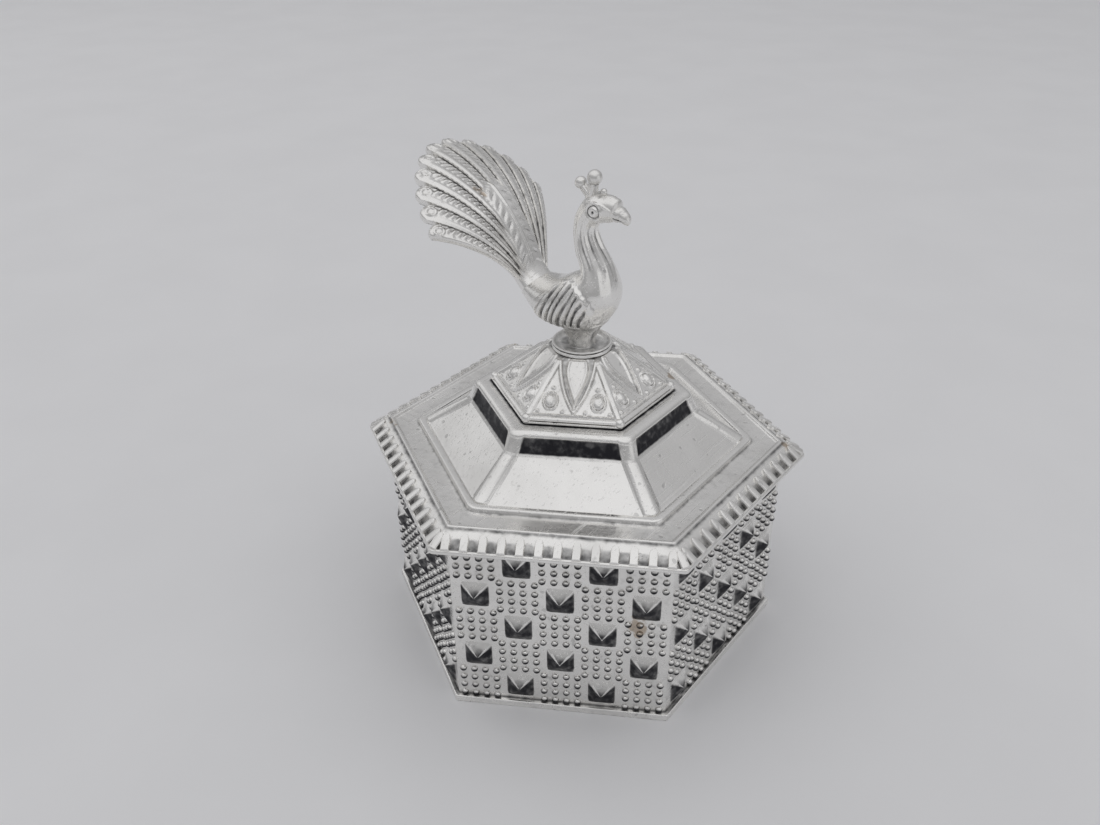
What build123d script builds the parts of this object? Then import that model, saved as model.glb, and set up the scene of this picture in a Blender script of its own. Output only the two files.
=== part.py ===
from build123d import *
import os
from math import atan2, cos, degrees, hypot, radians, sin, sqrt, tan

# Hexagonal kumkum box with a lift-off lid and a peacock finial, in millimetres.
# +Z is up, the origin is the middle of the underside, and the peacock faces +X.
# Two flats of the hexagon face along X, and two of its corners lie on Y.

# Box
WALL_ACROSS_FLATS = 56.2
WALL_THICKNESS = 1.6
WALL_HEIGHT = 31.4
FLOOR_THICKNESS = 1.2
FLOOR_LEDGE = 0.8
FLOOR_SPIGOT_HEIGHT = 1.0
SOLDER_GAP = 0.05

# Relief on the six walls: a chequer of pyramids, five cells by five on each wall
CELLS = 5
CELL_MARGIN = 0.4
PATTERN_TOP_MARGIN = 1.5
PYRAMID_WIDTH = 4.2
PYRAMID_LENGTH = 4.6
PYRAMID_RELIEF = 1.1
PYRAMID_TIP = 0.3

# Lid, worked inwards from the wall that it sits on
LID_OVERHANG = 3.1
LID_THICKNESS = 1.3
RIM_DROP = 1.0
RIM_LIP_HEIGHT = 0.7
RIM_LIP_THICKNESS = 1.0
ARRIS_INSET = 0.2
ARRIS_WIDTH = 0.5
ARRIS_HEIGHT = 0.4
LEDGE_WIDTH = 3.5
BORDER_WIDTH = 1.5
BORDER_HEIGHT = 0.7
PANEL_RISE = 4.6
STEP_RISE = 2.7
STEP_RUN = 0.8
LIP_ROUND = 0.6
PLATEAU_MARGIN = 1.8
SEAT_GAP = 0.3

# Tongues round the lid's sloping rim
RIBS_PER_SIDE = 13
RIB_WIDTH = 1.3
RIB_RELIEF = 0.45
RIB_SHARE = 0.72
RIB_CORNER_MARGIN = 2.1

# Strip under the lid that drops into the mouth of the box
LID_CLEARANCE = 0.35
STRIP_THICKNESS = 1.2
STRIP_DEPTH = 3.0

# Lotus cap on the lid
CAP_ACROSS_FLATS = 25.4
CAP_BEAD_HEIGHT = 1.2
CAP_BEAD_WIDTH = 0.9
CAP_RISE = 6.0
CAP_TOP_ACROSS_FLATS = 9.4
CAP_THICKNESS = 1.2
PETAL_TIP = 0.9
PETAL_HALF_WIDTH = 2.0
PETAL_WALL = 0.55
STUD_RADIUS = 1.1
STUD_OFFSET = 3.6
STUD_HEIGHT_UP = 2.3
CAP_RELIEF = 0.5
RELIEF_ROOT = 0.4

# Fixing of the finial
SCREW_RADIUS = 1.45
SCREW_HEAD_RADIUS = 2.75
SCREW_HEAD_HEIGHT = 2.0
SCREW_SLOT_WIDTH = 0.8
SCREW_SLOT_DEPTH = 0.9
SCREW_REACH = 2.0
THREAD_GAP = 0.05
WASHER_RADIUS = 4.0
WASHER_THICKNESS = 0.8
HOLE_GAP = 0.25
SPIGOT_RADIUS = 2.4
SPIGOT_LENGTH = 3.4

# Perch: the dished disc and the waisted stem below the bird
DISC_RADIUS = 4.7
DISC_RIM = 0.6
DISC_HEIGHT = 1.0
DISC_DISH = 0.5
STEM_FOOT_RADIUS = 2.7
STEM_WAIST_RADIUS = 2.3
STEM_TOP_RADIUS = 3.2
STEM_HEIGHT = 4.6

# Bird. Heights are above the top of the lotus cap.
# Sections from the rump to the crown: forward, up, lean of the section, half width, half depth.
RUMP = (-8.7, 8.3, -40, 3.4, 2.2)
BODY_SECTIONS = [
    RUMP,
    (-5.2, 7.2, -14, 4.8, 3.3),
    (-1.2, 7.7, 2, 5.2, 4.3),
    (2.2, 8.8, 22, 4.7, 4.4),
    (3.6, 11.2, 50, 3.8, 3.5),
    (2.8, 13.9, 80, 2.8, 2.6),
    (1.3, 16.6, 106, 2.1, 1.95),
    (0.7, 19.4, 94, 1.85, 1.7),
    (1.9, 21.9, 66, 1.5, 1.35),
]
HEAD_CENTRE = (2.9, 22.7)
HEAD_HALF = (3.3, 2.0, 2.1)
HEAD_NOD = 3
# Sections of the beak, in the same columns as the body
BEAK_SECTIONS = [
    (4.6, 23.1, -10, 1.5, 1.5),
    (6.9, 22.8, -24, 0.9, 0.8),
    (8.2, 21.6, -55, 0.28, 0.22),
]
EYE_UP = 0.1
EYE_RADIUS = 0.8
EYE_PROUD = 0.25

# Crest: three plumes on a peg in the crown, whose foot is behind the head's middle and sunk in it
CREST_BACK = 1.2
CREST_SINK = 0.6
CREST_PEG_RADIUS = 0.8
CREST_PEG_LENGTH = 1.4
# Plumes: centre of the ball forward of the foot and above it, ball radius, stalk radius
CREST_PLUMES = [
    (0.4, 2.8, 1.2, 0.8),
    (-2.0, 1.7, 0.9, 0.7),
    (2.0, 1.1, 0.5, 0.4),
]

# Tail: twelve feathers that spread from a point on the rump, laid over a ball
FEATHERS_PER_SIDE = 6
FEATHER_PITCH = 7.6
FAN_APEX = (-8.75, 8.25)
FAN_LEAN = 39.5
FAN_BALL_RADIUS = 24.8
FAN_APEX_BACK = 15.1
FAN_MIDDLE_LENGTH = 27.0
FAN_SHORTENING = 9.0
FAN_ROOT_SPREAD = 3.7
FEATHER_OVERLAP = 1.08
FEATHER_START = 4.0
FEATHER_THICKNESS = 1.3
FEATHER_RIB = 0.4
FEATHER_RIB_SHARE = 0.6
TAIL_STUMP_LENGTH = 9.0
TAIL_STUMP_HALF = (5.6, 1.1)
TAIL_PEG_RADIUS = 1.1
TAIL_PEG_LENGTH = 2.2

# Places worked out from the sizes above
SIDES = 6
SECTOR = 360 / SIDES
HALF_SECTOR = tan(radians(SECTOR / 2))
wall_half = WALL_ACROSS_FLATS / 2
mouth_half = wall_half - WALL_THICKNESS
seat_z = FLOOR_THICKNESS + WALL_HEIGHT
rim_half = wall_half + LID_OVERHANG
rim_z = seat_z - RIM_DROP
ledge_z = seat_z + LID_THICKNESS
arris_half = wall_half - ARRIS_INSET
arris_z = ledge_z + ARRIS_HEIGHT
ledge_outer = arris_half - ARRIS_WIDTH
border_half = ledge_outer - LEDGE_WIDTH
border_z = ledge_z + BORDER_HEIGHT
panel_foot = border_half - BORDER_WIDTH
cap_half = CAP_ACROSS_FLATS / 2
plateau_half = cap_half + PLATEAU_MARGIN
step_half = plateau_half + LIP_ROUND
panel_head = step_half + STEP_RUN
panel_head_z = border_z + PANEL_RISE
plateau_z = panel_head_z + STEP_RISE + LIP_ROUND
cap_foot = cap_half - CAP_BEAD_WIDTH
cap_top_half = CAP_TOP_ACROSS_FLATS / 2
cap_slope_z = plateau_z + CAP_BEAD_HEIGHT
perch_z = cap_slope_z + CAP_RISE
washer_z = plateau_z - LID_THICKNESS - WASHER_THICKNESS
crest_forward = HEAD_CENTRE[0] - CREST_BACK
crest_z = perch_z + HEAD_CENTRE[1] + HEAD_HALF[2] - CREST_SINK


def fuse_all(pieces):
    """One solid from pieces that overlap or share faces."""
    return pieces[0].fuse(*pieces[1:]).clean()


def round_the_sides(make):
    """The pieces that make(side) returns, turned to each side of the hexagon in turn."""
    turned = []
    for side in range(SIDES):
        turned += [Rot(0, 0, SECTOR * side) * piece for piece in make(side)]
    return turned


def six_sided(outline):
    """An outline of (distance out to the flat, height) carried round the hexagon with mitred corners."""
    reach = 2 * max(out for out, up in outline)
    low = min(up for out, up in outline)
    high = max(up for out, up in outline)
    bar = extrude(make_face(Plane.XZ * Polyline(*outline, close=True)), amount=reach, both=True)
    plan = Polyline((0, 0), (reach, -reach * HALF_SECTOR), (reach, reach * HALF_SECTOR), close=True)
    sector = extrude(Pos(0, 0, low) * make_face(plan), amount=2 * (high - low), both=True)
    side = bar & sector
    return fuse_all([Rot(0, 0, SECTOR * turn) * side for turn in range(SIDES)])


def slope_plane(out, up, out_top, up_top):
    """Plane on a sloping face of the +X side: its origin is mid-foot, x runs across and y up the slope."""
    run, rise = out_top - out, up_top - up
    return Plane(origin=(out, 0, up), x_dir=(0, 1, 0), z_dir=(rise, 0, -run))


def section_plane(forward, up, lean):
    """Plane across the bird whose normal points ahead at 0 degrees of lean and straight up at 90."""
    return Plane(
        origin=(forward, 0, perch_z + up),
        x_dir=(0, 1, 0),
        z_dir=(cos(radians(lean)), 0, sin(radians(lean))),
    )


def bird_section(forward, up, lean, half_width, half_depth):
    return section_plane(forward, up, lean) * Ellipse(half_width, half_depth)


def bird_length(rows):
    """Solid that runs through a row of sections, along a smooth curve through their middles."""
    middles = [(forward, 0, perch_z + up) for forward, up, *_ in rows]
    return sweep([bird_section(*row) for row in rows], path=Spline(*middles), multisection=True)


def ellipsoid(halves):
    return scale(Sphere(1), by=halves)


def wall_ring():
    """Hexagonal wall, open at both ends, with pyramids in every other cell of its chequer."""
    tube = six_sided([
        (mouth_half, FLOOR_THICKNESS),
        (wall_half, FLOOR_THICKNESS),
        (wall_half, seat_z),
        (mouth_half, seat_z),
    ])
    cell_width = (2 * wall_half * HALF_SECTOR - 2 * CELL_MARGIN) / CELLS
    cell_height = (WALL_HEIGHT - PATTERN_TOP_MARGIN) / CELLS
    root = WALL_THICKNESS / 4
    foot = Rectangle(PYRAMID_WIDTH, PYRAMID_LENGTH)
    tip = Rectangle(PYRAMID_TIP, PYRAMID_TIP)
    pyramid = loft([Pos(0, 0, -root) * foot, foot, Pos(0, 0, PYRAMID_RELIEF) * tip], ruled=True)
    face = Plane(origin=(wall_half, 0, FLOOR_THICKNESS), x_dir=(0, 1, 0), z_dir=(1, 0, 0))

    def pyramids(side):
        made = []
        for row in range(CELLS):
            for column in range(CELLS):
                if (row + column + side * CELLS) % 2 == 0:
                    across = (column - (CELLS - 1) / 2) * cell_width
                    made.append(face * Pos(across, (row + 0.5) * cell_height, 0) * pyramid)
        return made

    return fuse_all([tube, *round_the_sides(pyramids)])


def floor_plate():
    """Foot plate that stands proud of the wall, with a spigot that fits inside it."""
    foot_half = wall_half + FLOOR_LEDGE
    spigot_half = mouth_half - SOLDER_GAP
    spigot_top = FLOOR_THICKNESS + FLOOR_SPIGOT_HEIGHT
    return six_sided([
        (0, 0),
        (foot_half, 0),
        (foot_half, FLOOR_THICKNESS),
        (spigot_half, FLOOR_THICKNESS),
        (spigot_half, spigot_top),
        (0, spigot_top),
    ])


def lid_shell():
    """Hollow lid: ribbed sloping rim, ledge, raised border, sloping panels, step and plateau."""
    slope = PANEL_RISE / (panel_foot - panel_head)
    drop = LID_THICKNESS * hypot(1, slope)
    hollow_foot = panel_foot + (border_z - drop - seat_z) / slope
    hollow_head = panel_head - LID_THICKNESS - STEP_RUN
    hollow_head_z = border_z - drop + (panel_foot - hollow_head) * slope
    shell = six_sided([
        (0, plateau_z),
        (plateau_half, plateau_z),
        (step_half, plateau_z - LIP_ROUND),
        (panel_head, panel_head_z),
        (panel_foot, border_z),
        (border_half, border_z),
        (border_half, ledge_z),
        (ledge_outer, ledge_z),
        (ledge_outer, arris_z),
        (arris_half, arris_z),
        (rim_half, rim_z + RIM_LIP_HEIGHT),
        (rim_half, rim_z),
        (rim_half - RIM_LIP_THICKNESS, rim_z),
        (wall_half + SEAT_GAP, seat_z),
        (hollow_foot, seat_z),
        (hollow_head, hollow_head_z),
        (hollow_head, plateau_z - LID_THICKNESS),
        (0, plateau_z - LID_THICKNESS),
    ])
    fascia = slope_plane(rim_half, rim_z + RIM_LIP_HEIGHT, arris_half, arris_z)
    slope_length = hypot(rim_half - arris_half, arris_z - rim_z - RIM_LIP_HEIGHT)
    rib_length = RIB_SHARE * slope_length - RIB_WIDTH / 2
    tongue = Pos(0, rib_length / 2) * Rectangle(RIB_WIDTH, rib_length)
    tongue += Pos(0, rib_length) * Circle(RIB_WIDTH / 2)
    rib = extrude(Pos(0, 0, -RIB_RELIEF) * tongue, amount=2 * RIB_RELIEF)
    rib_pitch = (2 * rim_half * HALF_SECTOR - 2 * RIB_CORNER_MARGIN) / (RIBS_PER_SIDE - 1)

    def ribs(side):
        places = [(place - (RIBS_PER_SIDE - 1) / 2) * rib_pitch for place in range(RIBS_PER_SIDE)]
        return [fascia * Pos(across, 0, 0) * rib for across in places]

    hole = Pos(0, 0, plateau_z) * Cylinder(SCREW_RADIUS + HOLE_GAP, 4 * LID_THICKNESS)
    return fuse_all([shell, *round_the_sides(ribs)]) - hole


def locating_strip():
    """Hexagonal strip under the lid that keeps it central in the mouth."""
    outer = mouth_half - LID_CLEARANCE
    inner = outer - STRIP_THICKNESS
    return six_sided([
        (inner, seat_z - STRIP_DEPTH),
        (outer, seat_z - STRIP_DEPTH),
        (outer, seat_z),
        (inner, seat_z),
    ])


def lotus_cap():
    """Hollow six-sided cap with a bead at its foot, and a petal and two studs on each face."""
    slope = CAP_RISE / (cap_foot - cap_top_half)
    hollow_foot = cap_foot - CAP_THICKNESS * hypot(1, slope) / slope
    hollow_top_z = perch_z - CAP_THICKNESS
    hollow_top = hollow_foot - (hollow_top_z - cap_slope_z) / slope
    shell = six_sided([
        (0, perch_z),
        (cap_top_half, perch_z),
        (cap_foot, cap_slope_z),
        (cap_half, cap_slope_z - CAP_BEAD_WIDTH / 2),
        (cap_half, plateau_z),
        (hollow_foot, plateau_z),
        (hollow_foot, cap_slope_z),
        (hollow_top, hollow_top_z),
        (0, hollow_top_z),
    ])
    face = slope_plane(cap_foot, cap_slope_z, cap_top_half, perch_z)
    length = hypot(cap_foot - cap_top_half, CAP_RISE)

    def petal_outline(inset):
        tip = (0, PETAL_TIP + 2 * inset)
        top = (0, length - CAP_RELIEF - inset)
        middle = (PETAL_TIP + length) / 2
        width = PETAL_HALF_WIDTH - inset
        return make_face([
            ThreePointArc(tip, (width, middle), top),
            ThreePointArc(top, (-width, middle), tip),
        ])

    petal = extrude(Pos(0, 0, -RELIEF_ROOT) * petal_outline(0), amount=RELIEF_ROOT + CAP_RELIEF)
    petal -= extrude(petal_outline(PETAL_WALL), amount=2 * CAP_RELIEF)
    stud = extrude(Pos(0, 0, -RELIEF_ROOT) * Circle(STUD_RADIUS), amount=RELIEF_ROOT + CAP_RELIEF)

    def ornaments(side):
        studs = [face * Pos(across, STUD_HEIGHT_UP, 0) * stud for across in (-STUD_OFFSET, STUD_OFFSET)]
        return [face * petal, *studs]

    hole = Pos(0, 0, perch_z) * Cylinder(SPIGOT_RADIUS + HOLE_GAP, 4 * CAP_THICKNESS)
    return fuse_all([shell, *round_the_sides(ornaments)]) - hole


def finial_screw():
    """Slotted screw that comes up through the lid and the cap into the bird's spigot."""
    top = perch_z + SCREW_REACH
    head = Pos(0, 0, washer_z - SCREW_HEAD_HEIGHT / 2) * Cylinder(SCREW_HEAD_RADIUS, SCREW_HEAD_HEIGHT)
    shank = Pos(0, 0, (washer_z + top) / 2) * Cylinder(SCREW_RADIUS, top - washer_z)
    slot = Box(SCREW_SLOT_WIDTH, 3 * SCREW_HEAD_RADIUS, 2 * SCREW_SLOT_DEPTH)
    return head + shank - Pos(0, 0, washer_z - SCREW_HEAD_HEIGHT) * slot


def finial_washer():
    """Washer that spreads the screw's pull under the lid's plateau."""
    middle = Pos(0, 0, washer_z + WASHER_THICKNESS / 2)
    ring = Cylinder(WASHER_RADIUS, WASHER_THICKNESS)
    return middle * ring - middle * Cylinder(SCREW_RADIUS + HOLE_GAP, 2 * WASHER_THICKNESS)


def perch():
    """Dished disc, waisted stem and the spigot below them, turned about the axis."""
    waist_z = perch_z + DISC_DISH + (STEM_HEIGHT - DISC_DISH) / 2
    dish_z = perch_z + DISC_HEIGHT - DISC_DISH
    outline = [
        Polyline(
            (0, perch_z + STEM_HEIGHT),
            (0, perch_z - SPIGOT_LENGTH),
            (SPIGOT_RADIUS, perch_z - SPIGOT_LENGTH),
            (SPIGOT_RADIUS, perch_z),
            (DISC_RADIUS, perch_z),
            (DISC_RADIUS, perch_z + DISC_HEIGHT),
            (DISC_RADIUS - DISC_RIM, perch_z + DISC_HEIGHT),
            (DISC_RADIUS - 2 * DISC_RIM, dish_z),
            (STEM_FOOT_RADIUS, dish_z),
        ),
        ThreePointArc(
            (STEM_FOOT_RADIUS, dish_z),
            (STEM_WAIST_RADIUS, waist_z),
            (STEM_TOP_RADIUS, perch_z + STEM_HEIGHT),
        ),
        Line((STEM_TOP_RADIUS, perch_z + STEM_HEIGHT), (0, perch_z + STEM_HEIGHT)),
    ]
    return revolve(Plane.XZ * make_face(outline), Axis.Z)


def tail_peg(gap):
    """Peg of the tail joint, which runs into the body from the rump; gap widens it for the hole."""
    back = section_plane(*RUMP[:3])
    length = TAIL_PEG_LENGTH + gap
    return back * Pos(0, 0, length / 2) * Cylinder(TAIL_PEG_RADIUS + gap, length)


def crest_peg(gap):
    """Peg below the crest, which stands in the crown; gap widens it for the hole."""
    length = CREST_PEG_LENGTH + gap
    return Pos(crest_forward, 0, crest_z - length / 2) * Cylinder(CREST_PEG_RADIUS + gap, length)


def peacock_body():
    """Perch, body, neck, head, beak and eyes in one casting."""
    trunk = bird_length(BODY_SECTIONS)
    beak = bird_length(BEAK_SECTIONS)
    head_place = Pos(HEAD_CENTRE[0], 0, perch_z + HEAD_CENTRE[1])
    head = head_place * Rot(0, HEAD_NOD, 0) * ellipsoid(HEAD_HALF)
    eye_span = 2 * (HEAD_HALF[1] + EYE_PROUD)
    eyes = head_place * Pos(0, 0, EYE_UP) * Rot(90, 0, 0) * Cylinder(EYE_RADIUS, eye_span)
    body = fuse_all([trunk, perch(), head, beak, eyes])
    crown = Pos(crest_forward, 0, crest_z + CREST_PEG_RADIUS)
    crown *= Cylinder(2 * CREST_PEG_RADIUS, 2 * CREST_PEG_RADIUS)
    thread_top = perch_z + SCREW_REACH + THREAD_GAP
    thread_low = perch_z - 2 * SPIGOT_LENGTH
    thread = Pos(0, 0, (thread_top + thread_low) / 2)
    thread *= Cylinder(SCREW_RADIUS + THREAD_GAP, thread_top - thread_low)
    return body - crown - crest_peg(SOLDER_GAP) - tail_peg(SOLDER_GAP) - thread


def crest():
    """Three ball-tipped plumes that rise from one foot on the crown."""
    foot = Vector(crest_forward, 0, crest_z)
    collar = Pos(*foot) * Pos(0, 0, CREST_PEG_RADIUS / 2) * Cylinder(1.5 * CREST_PEG_RADIUS, CREST_PEG_RADIUS)
    pieces = [collar, crest_peg(0)]
    for forward, up, ball, stalk in CREST_PLUMES:
        reach = Vector(forward, 0, up)
        tip = foot + reach
        axis = Plane(origin=foot, z_dir=reach)
        keep_up = Pos(*foot) * Pos(0, 0, 2 * reach.length) * Box(*[4 * reach.length] * 3)
        stem = axis * Pos(0, 0, reach.length / 2) * Cylinder(stalk, reach.length)
        pieces += [stem & keep_up, Pos(*tip) * Sphere(ball)]
    return fuse_all(pieces)


def feather_length(angle):
    """Length of the feather at an angle from the middle of the fan; the outer ones are shorter."""
    widest = FEATHER_PITCH * (FEATHERS_PER_SIDE - 0.5)
    return FAN_MIDDLE_LENGTH - FAN_SHORTENING * (abs(angle) / widest) ** 1.4


def fan_plane():
    """Plane through the middle of the fan's ball: x runs along the fan, y across it, z out of it."""
    lean = radians(FAN_LEAN)
    along = Vector(-cos(lean), 0, sin(lean))
    out = Vector(sin(lean), 0, cos(lean))
    apex = Vector(FAN_APEX[0], 0, perch_z + FAN_APEX[1])
    depth = sqrt(FAN_BALL_RADIUS**2 - FAN_APEX_BACK**2)
    return Plane(origin=apex + along * FAN_APEX_BACK - out * depth, x_dir=along, z_dir=out)


def feather_outline(angle, width_share):
    """Flat tongue with a round end, in the fan's plane."""
    length = feather_length(angle)
    start_aside = FAN_ROOT_SPREAD * sin(radians(angle))
    ahead = length * cos(radians(angle))
    aside = length * sin(radians(angle)) - start_aside
    half = length * tan(radians(FEATHER_PITCH / 2)) * FEATHER_OVERLAP
    width = half * width_share
    centre = hypot(ahead, aside) - half
    root = width * FEATHER_START / centre
    corners = [(FEATHER_START, -root), (centre, -width), (centre, width), (FEATHER_START, root)]
    tongue = make_face(Polyline(*corners, close=True)) + Pos(centre, 0) * Circle(width)
    return Pos(-FAN_APEX_BACK, start_aside) * Rot(0, 0, degrees(atan2(aside, ahead))) * tongue


def on_ball(outlines, rise):
    """Outlines in the fan's plane, lifted on to the ball as a shell; rise stands it above the ball."""
    prism = extrude(outlines[0] + outlines[1:], amount=2 * FAN_BALL_RADIUS)
    shell = Sphere(FAN_BALL_RADIUS + rise) - Sphere(FAN_BALL_RADIUS - FEATHER_THICKNESS)
    return fan_plane() * (prism & shell)


def tail_stump():
    """Root of the tail, from the rump to a flat end inside the feathers."""
    forward = TAIL_STUMP_LENGTH - FAN_APEX_BACK
    depth = sqrt((FAN_BALL_RADIUS - FEATHER_THICKNESS) ** 2 - forward**2)
    end = fan_plane() * Plane(origin=(forward, 0, depth), x_dir=(0, -1, 0), z_dir=(-depth, 0, forward))
    return loft([end * Ellipse(*TAIL_STUMP_HALF), bird_section(*RUMP)])


def tail_fan():
    """Fan of feathers on a stump that meets the rump on a flat joint with a peg."""
    angles = [FEATHER_PITCH * (place + 0.5) for place in range(-FEATHERS_PER_SIDE, FEATHERS_PER_SIDE)]
    plates = on_ball([feather_outline(angle, 1) for angle in angles], 0)
    ribs = on_ball([feather_outline(angle, FEATHER_RIB_SHARE) for angle in angles], FEATHER_RIB)
    joint = section_plane(*RUMP[:3])
    size = 4 * FAN_MIDDLE_LENGTH
    behind = joint * Pos(0, 0, -size / 2) * Box(size, size, size)
    return (fuse_all([tail_stump(), plates, ribs]) & behind) + tail_peg(0)


PARTS = {
    "wall_ring": wall_ring,
    "floor_plate": floor_plate,
    "lid_shell": lid_shell,
    "locating_strip": locating_strip,
    "lotus_cap": lotus_cap,
    "finial_screw": finial_screw,
    "finial_washer": finial_washer,
    "peacock_body": peacock_body,
    "crest": crest,
    "tail_fan": tail_fan,
}


def main():
    os.makedirs("parts", exist_ok=True)
    for name, make in PARTS.items():
        shape = make()
        export_step(shape, f"parts/{name}.step")
        top = shape.bounding_box().max.Z
        print(f"{name}: {len(shape.solids())} solid, {shape.volume:.0f} mm3, up to z {top:.1f}")


if __name__ == "__main__":
    main()
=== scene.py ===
# %% [markdown]
# # A silver kumkum box with a peacock on its lid
# The object is a small six-sided box for kumkum powder. Its walls carry a chequer of pyramids and dots,
# the lid steps up to a lotus cap, and a peacock stands on the cap as the handle.
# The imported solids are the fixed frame: they give the main places and sizes. The lesson dresses them, piece
# by piece, in surfaces that are worked out as whole arrays of points.

import bmesh
import bpy
import numpy as np
from mathutils import Matrix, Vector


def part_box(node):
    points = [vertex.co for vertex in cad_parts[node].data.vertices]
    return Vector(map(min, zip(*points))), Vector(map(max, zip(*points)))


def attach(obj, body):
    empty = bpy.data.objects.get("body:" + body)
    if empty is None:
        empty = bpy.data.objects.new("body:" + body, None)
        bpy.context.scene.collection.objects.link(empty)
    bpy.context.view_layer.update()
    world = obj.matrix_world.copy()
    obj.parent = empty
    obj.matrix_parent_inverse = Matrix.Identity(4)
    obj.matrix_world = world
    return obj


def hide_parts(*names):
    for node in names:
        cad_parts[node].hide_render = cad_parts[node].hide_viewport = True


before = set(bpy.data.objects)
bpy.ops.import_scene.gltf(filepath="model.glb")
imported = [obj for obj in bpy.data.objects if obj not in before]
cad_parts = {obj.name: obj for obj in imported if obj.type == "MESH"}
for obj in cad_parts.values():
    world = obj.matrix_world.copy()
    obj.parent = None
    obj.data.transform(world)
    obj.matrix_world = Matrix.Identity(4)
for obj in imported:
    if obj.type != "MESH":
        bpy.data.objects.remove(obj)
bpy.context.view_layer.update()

# %% [markdown]
# ## Sizes
# Lengths of the box are millimetres here, because that is how a silversmith would give them. They become
# metres where a mesh is made; the floor, the lights and the camera are in metres from the start. The main
# heights and half widths are read from the solids' boxes, so the looks follow the solids. A half width is
# the distance from the axis to a flat side.

# %% Read the main sizes from the frame
MM = 0.001
SIDES = 6
HALF_SECTOR = np.tan(np.pi / SIDES)
FOOT_LEDGE = 0.8
LID_OVERHANG = 3.1
WALL_THICKNESS = 1.6
CAP_BEAD_HEIGHT = 1.2
CAP_RISE = 6.0


def node_box(node):
    """Lowest and highest corner of a node, in millimetres."""
    return [np.array(corner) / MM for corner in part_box(node)]


foot_half = node_box("floor_plate")[1][0]
spigot_z = node_box("floor_plate")[1][2]
wall_half = foot_half - FOOT_LEDGE
mouth_half = wall_half - WALL_THICKNESS
foot_z = node_box("wall_ring")[0][2]
seat_z = node_box("wall_ring")[1][2]
rim_half = wall_half + LID_OVERHANG
rim_z = node_box("lid_shell")[0][2]
plateau_z = node_box("lid_shell")[1][2]
cap_half = node_box("lotus_cap")[1][0]
slope_z = plateau_z + CAP_BEAD_HEIGHT
perch_z = slope_z + CAP_RISE
print(f"wall {2 * wall_half:.1f} mm across its flats, perch at {perch_z:.1f} mm")

# %% [markdown]
# ## Skins
# Every new piece is one or more closed skins. A skin is a grid of points whose columns run round and meet
# again, so it has no seam. Its rows either meet again as well, like a ring, or end in a point, like a ball.
# Beside its place, each point keeps one number for darkening: 0 on open metal that fingers polish, 1 in a
# groove where tarnish stays. The same number also carries painted shade: on the lower sides of dots and
# pyramids, under the brows and along the steps of the tail, and as painted dark reflection in the cap's
# trench and the tail's barbs. The finish reads it later, so dark grooves and painted shade follow the relief
# exactly.

# %% A skin and its grid
class Skin:
    """Points in millimetres, four-cornered faces, and the darkening of each point: tarnish and painted shade.
    """

    def __init__(self, points, faces, tarnish_and_shade):
        self.points = points
        self.faces = faces
        self.tarnish_and_shade = tarnish_and_shade


def closed_grid(points, tarnish_and_shade=0.0, ring=False):
    """Skin of a grid: corner (r, c) joins (r+1, c), (r+1, c+1) and (r, c+1), and columns count round."""
    rows, columns = points.shape[:2]
    r = np.arange(rows if ring else rows - 1)[:, None]
    c = np.arange(columns)[None, :]
    below = (r + 1) % rows
    beside = (c + 1) % columns
    corners = [r * columns + c, below * columns + c, below * columns + beside, r * columns + beside]
    faces = np.stack(np.broadcast_arrays(*corners), axis=-1).reshape(-1, 4)
    return Skin(points.reshape(-1, 3), faces, np.broadcast_to(tarnish_and_shade, (rows, columns)).reshape(-1))


def stamped(template, origin, across, up, out):
    """Copies of a template, one at each origin: a point is origin + x across + y up + z out."""
    x, y, z = (template.points[None, :, [axis]] for axis in range(3))
    copies = origin[:, None] + x * across[:, None] + y * up[:, None] + z * out[:, None]
    first = len(template.points) * np.arange(len(origin))
    faces = template.faces[None] + first[:, None, None]
    return Skin(copies.reshape(-1, 3), faces.reshape(-1, 4), np.tile(template.tarnish_and_shade, len(origin)))


print("a grid of 3 rows and 4 columns has", len(closed_grid(np.zeros((3, 4, 3))).faces), "faces")

# %% [markdown]
# Joining skins into a piece takes four jobs: put the arrays into a mesh, merge the points that fall on one
# another at poles, turn the faces outwards, and mark sharp edges so that smooth shading stops there.
# The piece then rides on its body and stands for the solid that it dresses.

# %% Make a piece from skins
MERGE_DISTANCE = 2e-6


def merge_poles(mesh):
    """Merges points in one place and turns every closed skin's faces outwards."""
    work = bmesh.new()
    work.from_mesh(mesh)
    bmesh.ops.remove_doubles(work, verts=work.verts, dist=MERGE_DISTANCE)
    bmesh.ops.dissolve_degenerate(work, edges=work.edges, dist=MERGE_DISTANCE)
    bmesh.ops.recalc_face_normals(work, faces=work.faces)
    work.to_mesh(mesh)
    work.free()


def make_piece(name, skins, body, nodes, finish, crease=35):
    """Object of the joined skins, which rides on a body and replaces the nodes that it dresses."""
    first = np.cumsum([0] + [len(skin.points) for skin in skins[:-1]])
    points = np.concatenate([skin.points for skin in skins]) * MM
    faces = np.concatenate([skin.faces + start for skin, start in zip(skins, first)])
    mesh = bpy.data.meshes.new(name)
    mesh.from_pydata(points.tolist(), [], faces.tolist())
    tarnish_and_shade = np.concatenate([skin.tarnish_and_shade for skin in skins]).astype(np.float32)
    mesh.attributes.new("tarnish_and_shade", "FLOAT", "POINT").data.foreach_set("value", tarnish_and_shade)
    merge_poles(mesh)
    mesh.shade_smooth()
    mesh.set_sharp_from_angle(angle=np.radians(crease))
    mesh.materials.append(finish)
    piece = bpy.data.objects.new(name, mesh)
    bpy.context.scene.collection.objects.link(piece)
    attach(piece, body)
    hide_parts(*nodes)
    print(name, len(mesh.polygons), "faces")


print("points within", MERGE_DISTANCE / MM, "mm are merged")
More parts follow.
